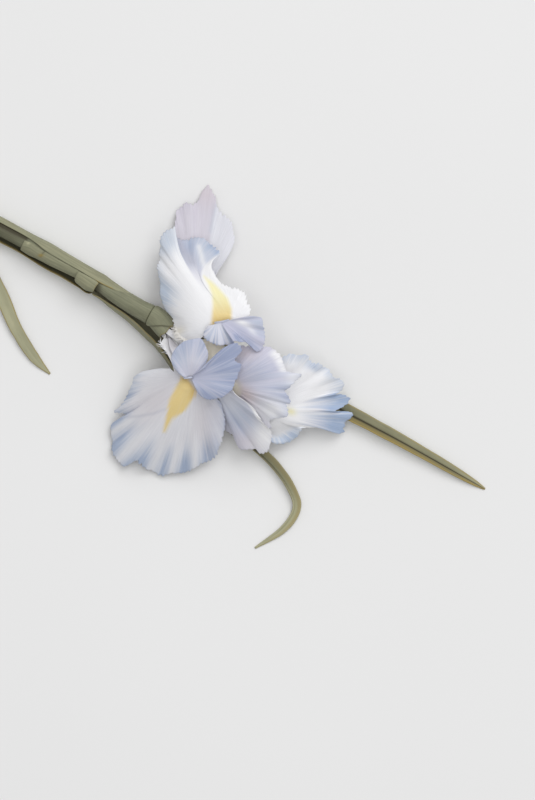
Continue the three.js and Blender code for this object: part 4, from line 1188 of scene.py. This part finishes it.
STYLE_ARM_1 = {
    "angle": 30, "flip": False,
    "haft": [
        [[194, 330.5, 22], [196, 333, 20.8], [198, 336, 20]],
        [[215, 335.5, 31.5], [218, 339.5, 30.5], [221.5, 343, 30]],
        [[218, 329, 37.5], [224.5, 331.5, 36.8], [231, 333, 36.5]],
        [[214, 322, 39.5], [221, 321, 40], [229, 319, 39.5]],
    ],
}
STYLE_ARM_2 = {
    "angle": 150, "flip": True,
    "haft": [
        [[169.5, 346, 23.5], [173.5, 346.5, 22.5], [177.5, 346, 22]],
        [[175.5, 361, 32], [181, 360.5, 31], [186.5, 358.5, 31.5]],
        [[181, 374, 38], [187, 373, 37.5], [193.5, 370.5, 38]],
        [[184, 379, 38.5], [189.5, 378.5, 38.7], [195, 377, 38.5]],
    ],
}
STYLE_ARM_3 = {
    "angle": 270, "flip": False,
    "haft": [
        [[189.5, 342.5, 14], [187, 345, 13.5], [184.5, 347.5, 14]],
        [[210, 359, 14.5], [207.5, 361.5, 14], [205, 364, 14.5]],
        [[233, 375.5, 17.5], [230, 378.5, 17], [227, 381.5, 17.5]],
        [[254, 389, 22], [249.5, 393.5, 21.5], [245, 398, 22]],
        [[266, 399, 23.5], [262.5, 404.5, 23.5], [258, 409.5, 23.5]],
    ],
}
CREST_1_LEFT = {
    "base": [[214, 324.5, 39.4], [217, 323.5, 39.8], [221, 323, 39.9]],
    "lift": 1,
    "rim": [[206.5, 326.5, 40.5], [204.5, 331, 40], [203.5, 335.5, 40], [205.6, 339.4, 40.5],
            [210, 342, 41], [217.3, 345, 41], [225, 344.6, 41], [232.7, 344, 41], [236, 338, 41.5]],
}
CREST_1_RIGHT = {
    "base": [[221, 323.5, 39.9], [225, 322, 39.9], [229, 320.5, 39.6]],
    "lift": 1,
    "rim": [[233, 341, 45], [241, 342, 44], [247, 342.5, 43], [252, 347, 42], [257, 351.5, 42],
            [263, 348, 41], [265, 338, 41], [264.5, 330.5, 41], [263, 324, 41.2], [261.4, 318, 41.5],
            [253, 316.2, 42], [244.6, 316.7, 42.5]],
}
CREST_2_LEFT = {
    "base": [[186, 377.5, 38.6], [189, 376.5, 38.7], [192.5, 376, 38.6]],
    "lift": 1,
    "rim": [[182, 376, 40], [177.6, 371.8, 40.5], [173, 365.7, 41.2], [171.3, 360, 42], [171.6, 356, 42.3],
            [173.5, 351.2, 42.8], [177.6, 346.2, 43.5], [184.7, 341.2, 44], [191.8, 339.5, 44.5],
            [199.5, 338.3, 44.5], [203.2, 341.2, 44.5], [205.8, 346.3, 43.7], [208.2, 353.5, 43],
            [206.6, 361.6, 41.5], [203.5, 366.5, 40.5]],
}
CREST_2_RIGHT = {
    "base": [[192, 376, 38.6], [193, 378, 38.6], [192, 380, 38.5]],
    "lift": 1,
    "rim": [[204.6, 368, 44], [212.2, 359.6, 45], [218.4, 352.4, 45.5], [225.5, 346.6, 45.5],
            [232.7, 343.5, 46], [237.8, 343.6, 46], [240.8, 347.3, 45.5], [241.3, 351.4, 45.2],
            [237.5, 356, 45], [234.5, 360.5, 44.6], [241.3, 364.7, 44], [239.8, 370.8, 43.6],
            [237.8, 375.9, 43.2], [234.7, 383, 42.8], [231.4, 390.2, 42.3], [225.5, 395.3, 41.4],
            [219.4, 398.2, 40.7], [210.2, 399.7, 39.6], [203.5, 397.7, 38.8], [198, 393.5, 38.4]],
}
CREST_3_LEFT = {
    "base": [[265, 398.5, 23.4], [263.5, 400.5, 23.5], [261.5, 402, 23.5]],
    "lift": 0.5,
    "rim": [[270, 396, 25], [272, 388, 27], [268, 380, 29], [260, 378, 29.5], [253, 383, 28.5],
            [252, 391, 26.5]],
}
CREST_3_RIGHT = {
    "base": [[261.5, 403, 23.5], [260, 405, 23.5], [258, 408, 23.4]],
    "lift": 0.5,
    "rim": [[251, 393, 25.5], [247, 393, 25], [243, 399, 24], [244, 406, 23], [250, 411, 23],
            [256, 412, 23]],
}


def style_arm(net, seed, *lobes):
    """A style's strip from the cup, and its crest's two lobes."""
    t = np.linspace(0, 1, 16)
    rows = foot_rows(net, STYLE_RING, STYLE_HALF_WIDTH, t)
    s = np.linspace(0, 1, len(rows) * 9)[:, None]
    thin = STYLE_THICKNESS * (0.3 + 0.7 * smooth(0, 0.2, np.minimum(t, 1 - t)))
    values = {"cream": 0.15 * smooth(1, 0.6, s), "violet": smooth(0.6, 0.9, s),
              "blue": 0.7 * smooth(0.8, 0.95, s),
              "vein": vein_of(4 * t, 40 * s, seed)}
    band = shell(along(np.stack(rows), s[:, 0]), thin, values)
    return [band] + [lobe.shell(STYLE_THICKNESS) for lobe in lobes]


def crest(net, seed, *folds, depth=0.7):
    b = Blade(net, CREST_SPACING, seed)
    b.pleats(0.8, *folds)
    b.cut_rim(14, 0.3, 1.8, depth)
    return b


def style_arm_1():
    left = crest(CREST_1_LEFT, 701, (206, 339, 2, 0.8), (213, 343, 2, -0.7), (219, 345, 2, 0.8),
                 (227, 345, 2, -0.7))
    stripe = np.maximum(0, np.sin(2 * np.pi * (left.t * 7.3 + 0.1 + 0.4 * rough(left.t, 9, 77)))) ** 0.7
    left.add(blue=0.9 * stripe * smooth(0.1, 0.5, left.f), deep=0.65 * stripe * left.margin(0.5),
             violet=0.25)
    left.add(pale=0.22 * (1 - stripe), blue=0.4)
    right = crest(CREST_1_RIGHT, 702, (238, 342, 2, 1.4), (244, 342, 2, -1.4), (250, 345, 2.2, 1.4),
                  (257, 351, 2.2, -1.4), (264, 343, 2.5, 1.6), (265, 333, 2, -1.4), (263, 325, 2, 1.2),
                  (253, 316, 3, 1.0))
    p = right.place
    # The right lobe is violet with a little blue, and painted highlights at (243,323) and (252,331).
    right.add(violet=0.9, blue=0.3,
              pale=0.9 * patch(p, 243, 323, 9, 3, -20) + 0.5 * patch(p, 252, 331, 6, 2.5, -40))
    right.add(blue=0.45 * right.between((265, 338), (250, 316)) * smooth(0.4, 0.9, right.f))
    right.add(deep=0.8 * near_line(p, [(236, 338), (248, 342), (256, 349)], 4.5)
              + 0.2 * patch(p, 238, 333, 9, 6))
    return style_arm(STYLE_ARM_1, 703, left, right)


def style_arm_2():
    left = crest(CREST_2_LEFT, 711, (174, 352, 3, -0.6), (188, 340, 3, 0.8), (203, 342, 3, -0.6), depth=0.3)
    p = left.place
    left.add(violet=0.4, blue=0.6 * left.margin(0.9) + 0.3 * patch(p, 178, 357, 8, 12))
    left.add(pale=0.15 * patch(p, 196, 361, 5, 12, 80), blue=0.15, deep=0.4 * left.margin(0.5))
    right = crest(CREST_2_RIGHT, 712, (237, 344, 4, 0.8), (241, 364, 3, 0.8), (236, 380, 4, -0.8),
                  (225, 396, 4, 0.8))
    p = right.place
    right.strokes("deep", 0.6, 1.3, (0.2, 0.7), (240, 366), (236, 380), (226, 395), (239, 348), (212, 400))
    right.add(violet=0.9, blue=0.4 + 0.6 * right.margin(0.7))
    right.add(deep=0.2 + 0.8 * patch(p, 228, 353, 18, 9, 45) + 0.5 * right.margin(0.6))
    return style_arm(STYLE_ARM_2, 713, left, right)


def style_arm_3():
    lobes = crest(CREST_3_LEFT, 721, depth=0.3), crest(CREST_3_RIGHT, 722, depth=0.3)
    for lobe in lobes:
        lobe.add(violet=0.4, blue=0.4 * lobe.margin(0.6))
    return style_arm(STYLE_ARM_3, 723, *lobes)


for name, arm in (("style_arm_1", style_arm_1), ("style_arm_2", style_arm_2), ("style_arm_3", style_arm_3)):
    make_piece(name, "style", arm(), STYLE)

# ---- table, light and camera, in metres ----

TABLE_HALF = 3.0
TABLE_GREY = tint(229, 229, 229)
TABLE_CLOUD = tint(231, 231, 231)
SKY_STRENGTH = 0.44
SENSOR_WIDTH = 36  # mm
# name, place from the square below the camera, diameter and watts
LIGHTS = (("softbox", (1.4, 2.2, 2.9), 2.4, 56), ("overhead", (0.2, 0.3, 3.4), 3.0, 45.3))

eye = Vector((spots([*SHEET_CENTRE, 0.0]) + SHIFT) * MM)
eye.z = 0

table_mesh = bpy.data.meshes.new("table")
corners = [(x * TABLE_HALF, y * TABLE_HALF, 0) for x, y in ((-1, -1), (1, -1), (1, 1), (-1, 1))]
table_mesh.from_pydata(corners, [], [(0, 1, 2, 3)])
table = in_scene("table", table_mesh)
t = Tree("table_paint")
colour = t.mix(t.ranged(t.speckled(*TABLE_NOISE), 0.3, 0.7, 0.0, 1.0), TABLE_GREY, TABLE_CLOUD)
table_mesh.materials.append(t.finish(t.surface(colour, 0.9, 0.1)))

world = bpy.data.worlds.new("studio")
bpy.context.scene.world = world
world.use_nodes = True
background = world.node_tree.nodes["Background"]
background.inputs["Color"].default_value = (1, 1, 1, 1)
background.inputs["Strength"].default_value = SKY_STRENGTH

for name, offset, size, energy in LIGHTS:
    lamp = bpy.data.lights.new(name, "AREA")
    lamp.shape = "DISK"
    lamp.size = size
    lamp.energy = energy
    holder = in_scene(name, lamp)
    holder.location = eye + Vector(offset)
    holder.rotation_mode = "QUATERNION"
    holder.rotation_quaternion = (-Vector(offset)).to_track_quat("-Z", "Y")

camera = in_scene("camera", bpy.data.cameras.new("camera"))
camera.location = eye + Vector((0, 0, EYE_HEIGHT * MM))
camera.data.sensor_width = SENSOR_WIDTH
camera.data.lens = SENSOR_WIDTH * EYE_HEIGHT / SHEET_HEIGHT
bpy.context.scene.camera = camera
bpy.context.scene.view_settings.view_transform = "Standard"
